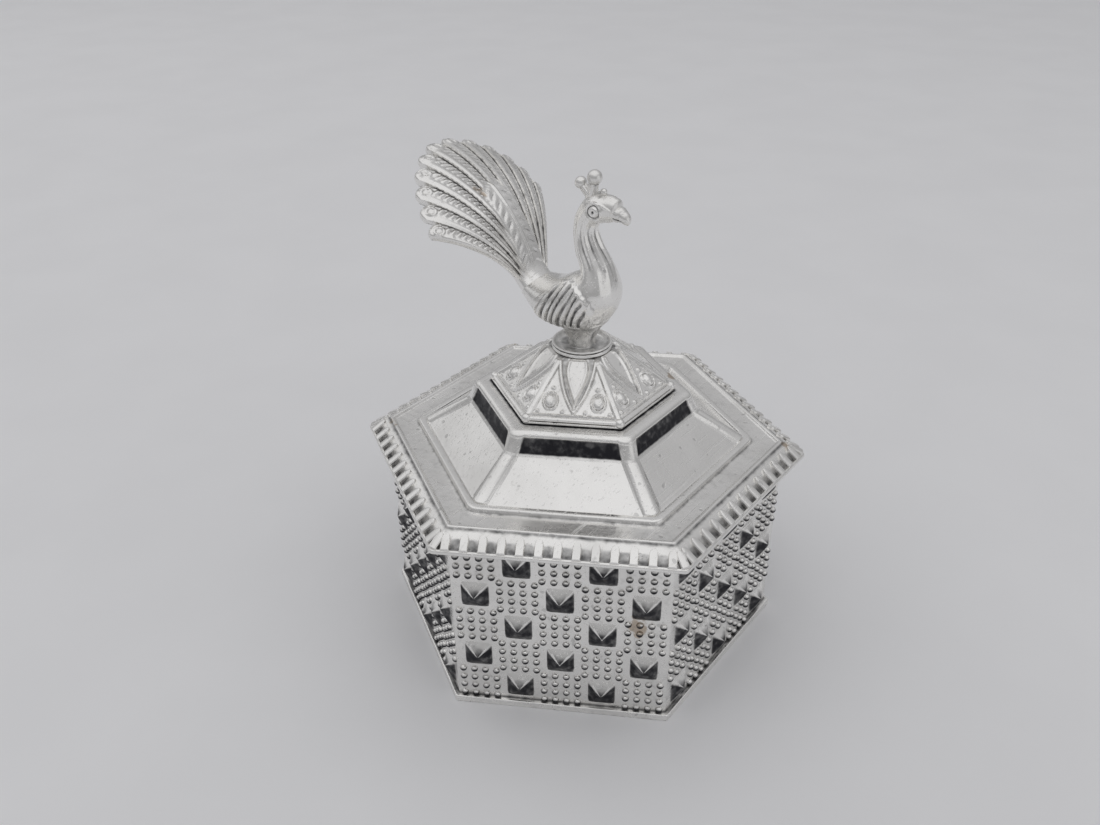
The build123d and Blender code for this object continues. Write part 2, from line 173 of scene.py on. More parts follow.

# %% [markdown]
# ## The finish
# The box is silver plate on cast metal. Open metal is bright and slightly satin, with cloudy patches, fine
# scratches, pits from casting and small warm patches where the plate is worn; grooves keep dark tarnish,
# and the same dark colour is painted as shade on faces that turn downwards or lie under a ridge. Three
# effects are shared by the silver and the steel, so they are node groups: the cast surface, the scratches,
# and the tarnish with painted shade. Each one reads Object coordinates in metres, so a noise scale of 1000
# gives marks of about a millimetre.

# %% Small helpers for nodes
def feed(tree, value, socket):
    """Links a socket into another, or sets a plain value on it."""
    if isinstance(value, bpy.types.NodeSocket):
        tree.links.new(value, socket)
    else:
        socket.default_value = value


def calculate(tree, operation, first, second):
    """One sum, product or other operation on two values."""
    node = tree.nodes.new("ShaderNodeMath")
    node.operation = operation
    feed(tree, first, node.inputs[0])
    feed(tree, second, node.inputs[1])
    return node.outputs[0]


def fade(tree, value, low, high, from_value=0.0, to_value=1.0):
    """A soft step: from_value below low, to_value above high."""
    node = tree.nodes.new("ShaderNodeMapRange")
    node.interpolation_type = "SMOOTHSTEP"
    for place, part in enumerate([value, low, high, from_value, to_value]):
        feed(tree, part, node.inputs[place])
    return node.outputs[0]


def speckle(tree, vector, scale, detail):
    """Noise between 0 and 1."""
    node = tree.nodes.new("ShaderNodeTexNoise")
    feed(tree, vector, node.inputs["Vector"])
    node.inputs["Scale"].default_value = scale
    node.inputs["Detail"].default_value = detail
    return node.outputs["Fac"]


print("helpers for values ready")


# %% Helpers for streaks, colours and groups
def stretched(tree, vector, turn, scale):
    """Coordinates turned by angles in degrees and scaled, so that a noise becomes streaks."""
    node = tree.nodes.new("ShaderNodeMapping")
    feed(tree, vector, node.inputs["Vector"])
    node.inputs["Rotation"].default_value = np.radians(turn)
    node.inputs["Scale"].default_value = scale
    return node.outputs["Vector"]


def blended(tree, factor, first, second):
    """Colour between two colours."""
    node = tree.nodes.new("ShaderNodeMix")
    node.data_type = "RGBA"
    feed(tree, factor, node.inputs[0])
    feed(tree, first, node.inputs[6])
    feed(tree, second, node.inputs[7])
    return node.outputs[2]


def new_group(name, inputs, outputs):
    """Empty node group with named sockets; returns the tree and its input and output nodes."""
    tree = bpy.data.node_groups.new(name, "ShaderNodeTree")
    for label, kind in inputs:
        tree.interface.new_socket(label, in_out="INPUT", socket_type=kind)
    for label, kind in outputs:
        tree.interface.new_socket(label, in_out="OUTPUT", socket_type=kind)
    return tree, tree.nodes.new("NodeGroupInput"), tree.nodes.new("NodeGroupOutput")


FLOAT = "NodeSocketFloat"
VECTOR = "NodeSocketVector"
print("helpers for colours and groups ready")

# %% Group for clouds, grain, pits and wear
cast_tree, cast_in, cast_out = new_group(
    "cast_surface",
    [("Vector", VECTOR)],
    [("Cloud", FLOAT), ("Grain", FLOAT), ("Pits", FLOAT), ("Worn", FLOAT)],
)
# Scale of the noise, its detail, and the two values between which a mask rises, if there is a mask
CAST_NOISES = {
    "Cloud": (110, 4, None),
    "Grain": (1500, 3, None),
    "Pits": (620, 1, (0.70, 0.76)),
    "Worn": (150, 6, (0.69, 0.73)),
}
for label, (scale, detail, mask) in CAST_NOISES.items():
    spread = speckle(cast_tree, cast_in.outputs["Vector"], scale, detail)
    feed(cast_tree, fade(cast_tree, spread, *mask) if mask else spread, cast_out.inputs[label])
print("group", cast_tree.name, "with", list(CAST_NOISES))

# %% Group for scratches
scratch_tree, scratch_in, scratch_out = new_group(
    "fine_scratches", [("Vector", VECTOR)], [("Lines", FLOAT)]
)
SCRATCH_SCALE = (2600, 90, 2600)
SCRATCH_TURNS = [(20, 0, 25), (-35, 10, 100), (15, 40, -50)]
SCRATCH_RISE = (0.67, 0.75)
lines = 0.0
for scratch_turn in SCRATCH_TURNS:
    streaks = stretched(scratch_tree, scratch_in.outputs["Vector"], scratch_turn, SCRATCH_SCALE)
    one_way = fade(scratch_tree, speckle(scratch_tree, streaks, 1.0, 1), *SCRATCH_RISE)
    lines = calculate(scratch_tree, "MAXIMUM", lines, one_way)
feed(scratch_tree, lines, scratch_out.inputs["Lines"])
print("group", scratch_tree.name, "in", len(SCRATCH_TURNS), "directions")

# %% Group for tarnish in hollows and painted shade
tarnish_and_shade_tree, tarnish_and_shade_in, tarnish_and_shade_out = new_group(
    "tarnish_and_shade_mask", [("Vector", VECTOR), ("Hollow", FLOAT)], [("Mask", FLOAT)]
)
RAGGED_SCALE = 900
RAGGED_SHARE = 0.7
TARNISH_AND_SHADE_RISE = (0.15, 0.95)
ragged = speckle(tarnish_and_shade_tree, tarnish_and_shade_in.outputs["Vector"], RAGGED_SCALE, 4)
ragged = calculate(tarnish_and_shade_tree, "SUBTRACT", ragged, 0.5)
ragged = calculate(tarnish_and_shade_tree, "MULTIPLY", ragged, RAGGED_SHARE)
deep = calculate(tarnish_and_shade_tree, "ADD", tarnish_and_shade_in.outputs["Hollow"], ragged)
feed(tarnish_and_shade_tree, fade(tarnish_and_shade_tree, deep, *TARNISH_AND_SHADE_RISE), tarnish_and_shade_out.inputs["Mask"])
print("group", tarnish_and_shade_tree.name)

# %% [markdown]
# The two materials place the groups with their own values. Metallic is a plain value on the shader, since
# it is the same all over. Tarnish and painted shade darken the colour and make it rougher; clouds and
# scratches change the roughness a little; grain, pits and scratches also feed a faint bump.

# %% Silver and steel
WORN_SHARE = 0.8
PIT_SHARE = 0.25
TARNISH_AND_SHADE_ROUGHNESS = 0.25
SCRATCH_ROUGHNESS = 0.2
SCRATCH_DEPTH = 0.8
BUMP_DISTANCE = 0.05


def use_group(tree, group, **inputs):
    """Places a node group in a material and feeds its inputs."""
    node = tree.nodes.new("ShaderNodeGroup")
    node.node_tree = group
    for label, value in inputs.items():
        feed(tree, value, node.inputs[label])
    return node.outputs


def metal(name, bright, cloudy, worn, dark, smooth, rough, bump):
    """Two tones in clouds, warm worn patches, dark in hollows and in painted shade; roughness between two
    values.
    """
    material = bpy.data.materials.new(name)
    material.use_nodes = True
    tree = material.node_tree
    shader = tree.nodes["Principled BSDF"]
    shader.inputs["Metallic"].default_value = 1.0
    place = tree.nodes.new("ShaderNodeTexCoord").outputs["Object"]
    tarnish_and_shade = tree.nodes.new("ShaderNodeAttribute")
    tarnish_and_shade.attribute_name = "tarnish_and_shade"
    cast = use_group(tree, cast_tree, Vector=place)
    scratches = use_group(tree, scratch_tree, Vector=place)["Lines"]
    tarnish_and_shade_mask = use_group(tree, tarnish_and_shade_tree, Vector=place, Hollow=tarnish_and_shade.outputs["Fac"])["Mask"]
    patch = fade(tree, cast["Cloud"], 0.35, 0.7)
    colour = blended(tree, patch, bright, cloudy)
    colour = blended(tree, calculate(tree, "MULTIPLY", cast["Worn"], WORN_SHARE), colour, worn)
    colour = blended(tree, calculate(tree, "MULTIPLY", cast["Pits"], PIT_SHARE), colour, dark)
    # The dark colour is tarnish in grooves and painted shade where the mask carries it.
    feed(tree, blended(tree, tarnish_and_shade_mask, colour, dark), shader.inputs["Base Color"])
    gloss = fade(tree, cast["Cloud"], 0.3, 0.7, smooth, rough)
    for mask, share in [(tarnish_and_shade_mask, TARNISH_AND_SHADE_ROUGHNESS), (scratches, SCRATCH_ROUGHNESS)]:
        gloss = calculate(tree, "ADD", gloss, calculate(tree, "MULTIPLY", mask, share))
    feed(tree, gloss, shader.inputs["Roughness"])
    cuts = calculate(tree, "MULTIPLY", scratches, SCRATCH_DEPTH)
    height = calculate(tree, "SUBTRACT", cast["Grain"], cuts)
    height = calculate(tree, "SUBTRACT", height, cast["Pits"])
    relief = tree.nodes.new("ShaderNodeBump")
    relief.inputs["Strength"].default_value = bump
    relief.inputs["Distance"].default_value = BUMP_DISTANCE * MM
    feed(tree, height, relief.inputs["Height"])
    feed(tree, relief.outputs["Normal"], shader.inputs["Normal"])
    return material


silver = metal(
    "silver_plate",
    bright=(0.93, 0.92, 0.90, 1),
    cloudy=(0.84, 0.83, 0.81, 1),
    worn=(0.47, 0.38, 0.29, 1),
    dark=(0.035, 0.035, 0.04, 1),
    smooth=0.17,
    rough=0.30,
    bump=0.5,
)
steel = metal(
    "steel_screw",
    bright=(0.62, 0.61, 0.60, 1),
    cloudy=(0.50, 0.50, 0.50, 1),
    worn=(0.40, 0.36, 0.31, 1),
    dark=(0.05, 0.045, 0.04, 1),
    smooth=0.28,
    rough=0.42,
    bump=0.6,
)
print("materials", silver.name, steel.name)

# %% [markdown]
# ## Round the hexagon
# The foot, the walls, the lid and the cap are all one outline carried round a hexagon. A sharp corner
# would look cut from card, so a ring is the sharp hexagon shrunk by a corner radius, plus that radius in
# the outward direction. Where the radius equals the half width, the same formula gives a circle.

# %% Stations round a hexagon
class Stations:
    """Places round a hexagon: reach runs from -1 to 1 along each side, then a few steps turn its corner."""

    def __init__(self, reach, corner_steps):
        turn = np.linspace(0, 1, corner_steps + 2)[1:-1]
        reach = np.concatenate([reach, np.ones(corner_steps)])
        swing = np.concatenate([np.zeros(len(reach) - corner_steps), turn])
        side = np.arange(SIDES)[:, None]
        facing = np.radians(360 / SIDES * side) + 0 * swing
        outward = np.radians(360 / SIDES * (side + swing))
        aside = HALF_SECTOR * reach
        sharp = [np.cos(facing) - aside * np.sin(facing), np.sin(facing) + aside * np.cos(facing)]
        self.sharp = np.stack(sharp, axis=-1).reshape(1, -1, 2)
        self.outward = np.stack([np.cos(outward), np.sin(outward)], axis=-1).reshape(1, -1, 2)
        self.reach = np.tile(reach, SIDES)[None, :]
        self.side = np.repeat(np.arange(SIDES), len(reach))[None, :]


plain_stations = Stations(np.linspace(-1, 1, 5), corner_steps=3)
print(plain_stations.reach.shape[1], "stations round a plain hexagon")

# %% An outline carried round the stations
AXIS_HALF = 0.01
EASE_LIMIT = 0.45


def eased(outline, steps=4):
    """Outline whose corners are short quadratic curves, each from one edge to the next. Columns are
    half width, height, corner radius, darkening, hip and the length that the curve takes from each edge."""
    corners = np.array(outline, float)

    def toward(other):
        """Places on the edges to the other corners, as far off as each curve takes."""
        length = np.hypot(*(other - corners)[:, :2].T)
        share = np.minimum(corners[:, 5] / length, EASE_LIMIT)
        return corners + (other - corners) * share[:, None]

    start = toward(np.roll(corners, 1, axis=0))[:, None]
    end = toward(np.roll(corners, -1, axis=0))[:, None]
    s = np.linspace(0, 1, steps)[None, :, None]
    curve = (1 - s) ** 2 * start + 2 * s * (1 - s) * corners[:, None] + s**2 * end
    return curve.reshape(-1, corners.shape[1])


def outline_normals(rows):
    """Unit direction out of an outline that runs outwards over the top, down and back below."""
    run, rise = (np.roll(rows, -1, axis=0) - np.roll(rows, 1, axis=0))[:, :2].T
    length = np.maximum(np.hypot(run, rise), AXIS_HALF)
    return -rise / length, run / length


def carried_round(rows, stations, lift=0.0, tarnish_and_shade=None):
    """Skin of an outline carried round: (half width - radius) x sharp + (radius + lift out) x outward.
    lift moves points off the outline, along its normal."""
    out, up, radius = (rows[:, [column]] for column in range(3))
    lean_out, lean_up = (part[:, None] for part in outline_normals(rows))
    plan = (out - radius)[..., None] * stations.sharp
    plan = plan + (radius + lift * lean_out)[..., None] * stations.outward
    height = np.broadcast_to(up + lift * lean_up, plan.shape[:2])
    points = np.concatenate([plan, height[..., None]], axis=-1)
    return closed_grid(points, rows[:, [3]] if tarnish_and_shade is None else tarnish_and_shade, ring=True)


def side_axes(side):
    """Unit vectors of the sides numbered in an array: out of the side, across it, and up."""
    angle = np.radians(360 / SIDES * side)
    zero = np.zeros_like(angle)
    out = np.stack([np.cos(angle), np.sin(angle), zero], axis=-1)
    across = np.stack([-np.sin(angle), np.cos(angle), zero], axis=-1)
    return out, across, np.stack([zero, zero, zero + 1], axis=-1)


print("the first side faces", side_axes(np.array([0]))[0][0])

# %% [markdown]
# ## The foot
# The foot is a plain plate under the wall. It shows as a thin bright lip, so its edge is eased. A bevelled
# block would do as well, but the carried outline gives the eased edge and the spigot in one go.

# %% Foot plate
SPIGOT_GAP = 0.05
spigot_half = mouth_half - SPIGOT_GAP
foot_outline = eased([
    (AXIS_HALF, spigot_z, AXIS_HALF, 0.3, 0, 0),
    (spigot_half, spigot_z, 0.4, 0.4, 0, 0.1),
    (spigot_half, foot_z, 0.4, 0.8, 0, 0.05),
    (wall_half, foot_z, 0.4, 0.8, 0, 0.05),
    (foot_half, foot_z, 0.5, 0.0, 0, 0.25),
    (foot_half, 0, 0.5, 0.25, 0, 0.25),
    (AXIS_HALF, 0, AXIS_HALF, 0.2, 0, 0),
])
make_piece(
    "foot_plate", [carried_round(foot_outline, plain_stations)], "box", ["floor_plate"], silver
)

# %% [markdown]
# ## The wall
# Each wall has five by five cells: pyramids in every other one, and sixteen dots in the rest. The relief is
# cast with the wall. A wall displaced finely enough for 1200 dots would be heavy, so a dot and a pyramid
# are each drawn once, with few faces, and stamped into their places, a little sunk so that no gap shows.

# %% Dot and pyramid
DOT_RADIUS = 0.56
DOT_HEIGHT = 0.5
DOT_SUNK = 0.12
PYRAMID_HALF = (2.1, 2.3)
PYRAMID_HEIGHT = 1.1
PYRAMID_SQUARENESS = 12
PYRAMID_SWELL = 1.4


def round_dot():
    """Dome over a grid of latitude and turn: radius cos(latitude), height sin(latitude), closed below.
    Painted shade darkens all but its upper edge, as on a dot lit from above."""
    latitude = np.radians([0, 22, 48, 72, 90])
    radius = np.concatenate([[0, 1], np.cos(latitude[1:])])[:, None] * DOT_RADIUS
    height = np.concatenate([[-DOT_SUNK, -DOT_SUNK], DOT_HEIGHT * np.sin(latitude[1:])])[:, None]
    turn = np.linspace(0, 2 * np.pi, 10, endpoint=False)[None, :]
    shape = [radius * np.cos(turn), radius * np.sin(turn), height + 0 * turn]
    # Painted shade: the darkening grows towards the dot's lower side.
    lower = np.clip(1.1 - 1.6 * shape[1] / DOT_RADIUS, 0, 0.9)
    return closed_grid(np.stack(shape, axis=-1), lower)


def pyramid():
    """Rings of a rounded square, share m of the foot, at height 1 - m to a power, so its faces swell.
    Painted shade darkens the side and lower faces, and the upper face is darker towards its tip."""
    share = np.array([0, 1, 1, 0.93, 0.8, 0.6, 0.4, 0.2, 0.07, 0])[:, None]
    height = PYRAMID_HEIGHT * (1 - share**PYRAMID_SWELL)
    height[:2] = -DOT_SUNK
    turn = np.linspace(0, 2 * np.pi, 32, endpoint=False)[None, :]
    power = PYRAMID_SQUARENESS
    square = (np.abs(np.cos(turn)) ** power + np.abs(np.sin(turn)) ** power) ** (-1 / power)
    x = PYRAMID_HALF[0] * share * square * np.cos(turn)
    y = PYRAMID_HALF[1] * share * square * np.sin(turn)
    # Painted shade: side and lower faces get a painted dark reflection; the upper face darkens towards its
    # tip, the ridges stay light.
    upper = np.sin(turn) > np.abs(np.cos(turn)) - 0.01
    ridge = np.abs(np.sin(turn) - np.abs(np.cos(turn))) < 0.15
    below = np.clip(3.6 - 3 * share, 0.6, 0.85)
    tarnish_and_shade = np.where(upper, np.clip(1.05 - 1.15 * share, 0, 0.85), below)
    return closed_grid(np.stack([x, y, height + 0 * turn], axis=-1), np.where(ridge, 0.05, tarnish_and_shade))


print("dot", len(round_dot().faces), "faces, pyramid", len(pyramid().faces), "faces")

# %% Wall with its chequer
CELLS = 5
DOTS = 4
DOT_PITCH = (0.275, 0.285)
CELL_MARGIN = 0.4
TOP_MARGIN = 1.5
STEPS_PER_CELL = 6
WALL_CORNER = 0.35
MOUTH_CORNER = 0.5
# Darkening of the ground round dots, and round a pyramid
GROUND_HOLLOW = (0.2, 0.12)
cell_width = (2 * wall_half * HALF_SECTOR - 2 * CELL_MARGIN) / CELLS
cell_height = (seat_z - foot_z - TOP_MARGIN) / CELLS


def is_pyramid(side, row, column):
    """The chequer runs on round the corners, because a side has an odd number of cells."""
    return (row + column + side * CELLS) % 2 == 0


def on_wall(side, across, height):
    """Origins and axes of stamps on the walls."""
    out, sideways, up = side_axes(side)
    origin = wall_half * out + across[:, None] * sideways + height[:, None] * up
    return origin, sideways, up, out


def wall_stamps():
    """Pyramids and dots at the middles of their cells and quarter cells."""
    side, row, column = (n.ravel() for n in np.indices((SIDES, CELLS, CELLS)))
    chosen = is_pyramid(side, row, column)
    across = (column - (CELLS - 1) / 2) * cell_width
    height = foot_z + (row + 0.5) * cell_height
    pyramids = stamped(pyramid(), *on_wall(side[chosen], across[chosen], height[chosen]))
    step = np.arange(DOTS) - (DOTS - 1) / 2
    shape = (np.count_nonzero(~chosen), DOTS, DOTS)
    dot_across = across[~chosen][:, None, None] + DOT_PITCH[0] * cell_width * step[:, None]
    dot_height = height[~chosen][:, None, None] + DOT_PITCH[1] * cell_height * step
    dot_across = np.broadcast_to(dot_across, shape)
    dot_height = np.broadcast_to(dot_height, shape)
    dot_side = np.broadcast_to(side[~chosen][:, None, None], shape)
    dots = stamped(round_dot(), *on_wall(dot_side.ravel(), dot_across.ravel(), dot_height.ravel()))
    return [pyramids, dots]


def wall_tube():
    """The plain wall; its darkening is set by the cell that a point lies in."""
    places = STEPS_PER_CELL * CELLS + 1
    stations = Stations(np.linspace(-1, 1, places), corner_steps=3)
    inner_top = (mouth_half, seat_z, MOUTH_CORNER, 0.2, 0, 0)
    inner_foot = (mouth_half, foot_z, MOUTH_CORNER, 0.5, 0, 0)
    downwards = np.linspace(foot_z, seat_z, places)[::-1]
    rows = np.array([inner_top, *[(wall_half, z, WALL_CORNER, 0, 0, 0) for z in downwards], inner_foot])
    across = stations.reach * (rows[:, [0]] - rows[:, [2]]) * HALF_SECTOR
    column = np.floor(across / cell_width + CELLS / 2)
    row = np.floor((rows[:, [1]] - foot_z) / cell_height)
    dotted = ~is_pyramid(stations.side, row, column)
    tarnish_and_shade = np.where(rows[:, [0]] < wall_half, rows[:, [3]], np.where(dotted, *GROUND_HOLLOW))
    return carried_round(rows, stations, tarnish_and_shade=tarnish_and_shade)


make_piece(
    "wall_with_chequer", [wall_tube(), *wall_stamps()], "box", ["wall_ring"], silver, crease=30
)

# %% [markdown]
# ## The lid
# From the middle outwards the lid has a plateau, a rolled lip, a steep step, six sloping panels between
# rounded hips, a raised border, a flat ledge, a thin arris and a sloping rim. That is one outline, read
# like a turner's profile. The hips are lifted off the outline near each corner. Separate plates with bars
# on their joints would need trimming at every corner, which the one skin avoids.

# %% Lid shell
HIP_LIFT = 0.42
HIP_WIDTH = 1.0
HIP_ZONE = 0.15
HOLE_RADIUS = 1.7
LID_THICKNESS = 1.3
PANEL_TOP = (16.15, 38.85)
PANEL_FOOT = (22.35, 34.4)
BORDER_Z = 34.65
LEDGE_Z = 33.9
ARRIS = (27.9, 34.3)
RIM_EDGE_Z = 32.2
INNER_STEP = (13.8, 39.1)


def lid_outline():
    """Half width, height, corner radius, darkening, hip and ease of each corner, over the top and back."""
    return eased([
        (HOLE_RADIUS, plateau_z, HOLE_RADIUS, 0.5, 0, 0.1),
        (12.75, plateau_z, 0.6, 0.95, 0, 0.1),
        (13.1, plateau_z - 0.05, 0.9, 0.3, 0, 0.1),
        (13.6, plateau_z, 0.9, 0.0, 0, 0.2),
        (14.6, plateau_z, 1.3, 0.0, 0, 0.5),
        (15.15, plateau_z - 0.6, 1.3, 0.0, 0.2, 0.4),
        (15.0, plateau_z - 0.95, 1.2, 0.85, 0.7, 0.1),
        (15.75, PANEL_TOP[1] + 0.5, 1.0, 0.95, 1, 0.1),
        (15.95, PANEL_TOP[1] + 0.25, 1.0, 0.0, 1, 0.06),
        (*PANEL_TOP, 1.0, 0.0, 1, 0.06),
        (*PANEL_FOOT, 0.9, 0.0, 1, 0.2),
        (22.6, PANEL_FOOT[1] - 0.05, 1.2, 0.25, 0.7, 0.1),
        (22.8, BORDER_Z, 1.5, 0.0, 0, 0.15),
        (23.75, BORDER_Z, 2.0, 0.0, 0, 0.25),
        (24.0, LEDGE_Z + 0.05, 2.0, 0.55, 0, 0.1),
        (24.35, LEDGE_Z, 1.8, 0.2, 0, 0.2),
        (27.15, LEDGE_Z, 0.5, 0.2, 0, 0.2),
        (27.4, ARRIS[1] - 0.05, 0.5, 0.0, 0, 0.1),
        (27.8, ARRIS[1], 0.5, 0.0, 0, 0.12),
        (28.0, ARRIS[1] - 0.3, 0.5, 0.7, 0, 0.1),
        (28.6, 33.78, 0.6, 0.1, 0, 0.3),
        (29.2, 33.45, 0.6, 0.0, 0, 0.2),
        (29.5, 33.15, 0.6, 0.45, 0, 0.1),
        (30.4, RIM_EDGE_Z, 0.6, 0.7, 0, 0.1),
        (30.65, 32.15, 0.6, 0.6, 0, 0.05),
        (30.85, 32.35, 0.6, 0.0, 0, 0.1),
        (rim_half, RIM_EDGE_Z, 0.7, 0.0, 0, 0.2),
        (rim_half, rim_z, 0.7, 0.1, 0, 0.2),
        (30.2, rim_z, 0.5, 0.4, 0, 0.1),
        (28.4, seat_z, 0.4, 0.7, 0, 0.1),
        (22.98, seat_z, 0.4, 0.4, 0, 0.2),
        (*INNER_STEP, 0.4, 0.3, 0, 0.2),
        (INNER_STEP[0], plateau_z - LID_THICKNESS, 0.4, 0.5, 0, 0.2),
        (HOLE_RADIUS, plateau_z - LID_THICKNESS, HOLE_RADIUS, 0.5, 0, 0.1),
    ])


def lid_skin():
    """The lid's outline carried round; near a corner, hips rise as the top of a round bar."""
    ends = 1 - HIP_ZONE * np.linspace(0, 1, 16)[:-1]
    middle = np.linspace(HIP_ZONE - 1, 1 - HIP_ZONE, 9)
    stations = Stations(np.concatenate([-ends, middle, ends[::-1]]), corner_steps=5)
    rows = lid_outline()
    from_hip = (rows[:, [0]] - rows[:, [2]]) * HALF_SECTOR * (1 - np.abs(stations.reach))
    hip = np.sqrt(1 - np.clip(from_hip / HIP_WIDTH, 0, 1) ** 2)
    bar = rows[:, [4]] * hip
    return carried_round(rows, stations, HIP_LIFT * bar, rows[:, [3]] * (1 - bar))


print(len(lid_outline()), "rows in the lid's outline")

# %% [markdown]
# Thirteen tongues stand on each side of the rim, and one more lies on each corner. They share one
# template: a bar with a soft top whose end narrows to a round tip. An Array modifier could repeat it along
# one side; stamping also takes it round the corners, and keeps all of them alike, as they are on the cast
# rim. The dark pockets between them are rows of the lid's own outline.

# %% Rim tongues
TONGUES = 13
TONGUE_HALF = 0.66
TONGUE_RISE = 0.4
TONGUE_LENGTH = 2.75
TONGUE_SUNK = 0.7
TONGUE_CORNER_MARGIN = 2.1
TONGUE_CORNER_INSET = 0.25
RIM_TOP = (31.05, 32.3)


def tongue():
    """Closed section carried along the bar: near the round tip its width is the root of 1 - tip squared."""
    section_x = np.array([-1, -1, -0.82, -0.4, 0, 0.4, 0.82, 1, 1])
    section_z = np.array([-1, 0.45, 0.86, 1, 1, 1, 0.86, 0.45, -1])
    along = np.array([0, 0, 0.06, 0.3, 0.55, 0.7, 0.82, 0.91, 0.97, 1.0])[:, None]
    tip = np.clip((along - 0.5) / 0.5, 0, 1) ** 1.3
    width = TONGUE_HALF * np.sqrt(1 - tip**2)
    width[0] = 0
    rise = TONGUE_RISE * (0.75 + 0.25 * np.sqrt(1 - tip**2))
    rise[:2] = 0.3 * TONGUE_RISE
    z = np.where(section_z < 0, -TONGUE_SUNK, section_z * rise)
    points = np.stack(np.broadcast_arrays(width * section_x, along * TONGUE_LENGTH, z), axis=-1)
    return closed_grid(points, np.where(z < 0, 0.8, 0.0))


def tongues():
    """Stamps on the rim's slope, square to each side, and one along each corner."""
    pitch = (2 * rim_half * HALF_SECTOR - 2 * TONGUE_CORNER_MARGIN) / (TONGUES - 1)
    side, place = (n.ravel() for n in np.indices((SIDES, TONGUES)))
    side = np.concatenate([side, np.arange(SIDES) + 0.5])
    across = np.concatenate([(place - (TONGUES - 1) / 2) * pitch, np.zeros(SIDES)])
    on_corner = side % 1 > 0
    reach = np.where(on_corner, 1 / np.cos(np.pi / SIDES), 1.0)[:, None]
    out, sideways, up = side_axes(side)
    foot_place = (RIM_TOP[0] - TONGUE_CORNER_INSET * on_corner)[:, None] * reach * out + RIM_TOP[1] * up
    slope = (ARRIS[0] - RIM_TOP[0]) * reach * out + (ARRIS[1] - RIM_TOP[1]) * up
    slope /= np.linalg.norm(slope, axis=1, keepdims=True)
    normal = np.cross(sideways, slope)
    normal *= np.sign(normal[:, [2]])
    return stamped(tongue(), foot_place + across[:, None] * sideways, sideways, slope, normal)


make_piece("lid_with_tongues", [lid_skin(), tongues()], "lid", ["lid_shell"], silver)

# %% [markdown]
# ## The lotus cap
# Each face of the cap carries a hanging petal round a leaf, a stud in a ring on either side, and small
# beads. It could be put together from many small pieces. Here it is a height over the face, as on a
# stamped sheet, so that nothing floats or overlaps: soft bands and domes are drawn, and the highest of
# them at each place lifts a fine grid. The number for darkening rises where the height is low; it also
# holds a painted shadow on the lower side of the groove round each stud, and a painted dark reflection in
# the trench between petal and leaf.

# %% Relief on a face of the cap
CAP_FOOT = 11.8
CAP_TOP = 4.7
PETAL_TIP = 0.5
PETAL_WIDTH = 2.75
LEAF_TIP = 1.6
LEAF_PAST_TOP = 2.2
LEAF_WIDTH = 1.7
STUD = (3.6, 2.35)
STUD_RADIUS = 0.86
STUD_RING_RADIUS = 1.06
STUD_TALLNESS = 1.25
HIGH_BEAD = (3.3, 4.45)
LOW_BEADS = [(1.7, 0.75), (5.4, 0.7)]
BEAD_RADIUS = 0.22
PETAL_RISE = 0.42
LEAF_RISE = 0.40
LEAF_DISH = 0.16
TRENCH_DEPTH = 0.14
STUD_RISE = 0.55
STUD_RING_RISE = 0.30
BEAD_RISE = 0.26
CAP_HIP_RISE = 0.34
CAP_HIP_HALF = 0.32
FOOT_LINE_RISE = 0.22
FOOT_LINE_UP = 0.12
cap_slope = np.hypot(CAP_FOOT - CAP_TOP, CAP_RISE)


def soft(distance, edge, blur):
    """1 where distance is below the edge, 0 above it, with a soft step between."""
    t = np.clip((edge + blur - distance) / (2 * blur), 0, 1)
    return t * t * (3 - 2 * t)


def petal_half(up, tip, top, width):
    """Half width of a petal that hangs from the top: a sine curve, negative below its tip."""
    t = (up - tip) / (top - tip)
    curve = width * np.sin(np.pi / 2 * np.clip(t, 0, 1) ** 0.85)
    return np.where(t > 0, curve, t * width)


def leaf_half(up, tip, top, width):
    """Half width of a leaf, pointed at both ends: a sine curve, negative beyond its lower tip."""
    t = (up - tip) / (top - tip)
    return np.where(t > 0, width * np.sin(np.pi * np.clip(t, 0, 1) ** 1.3), t * width)


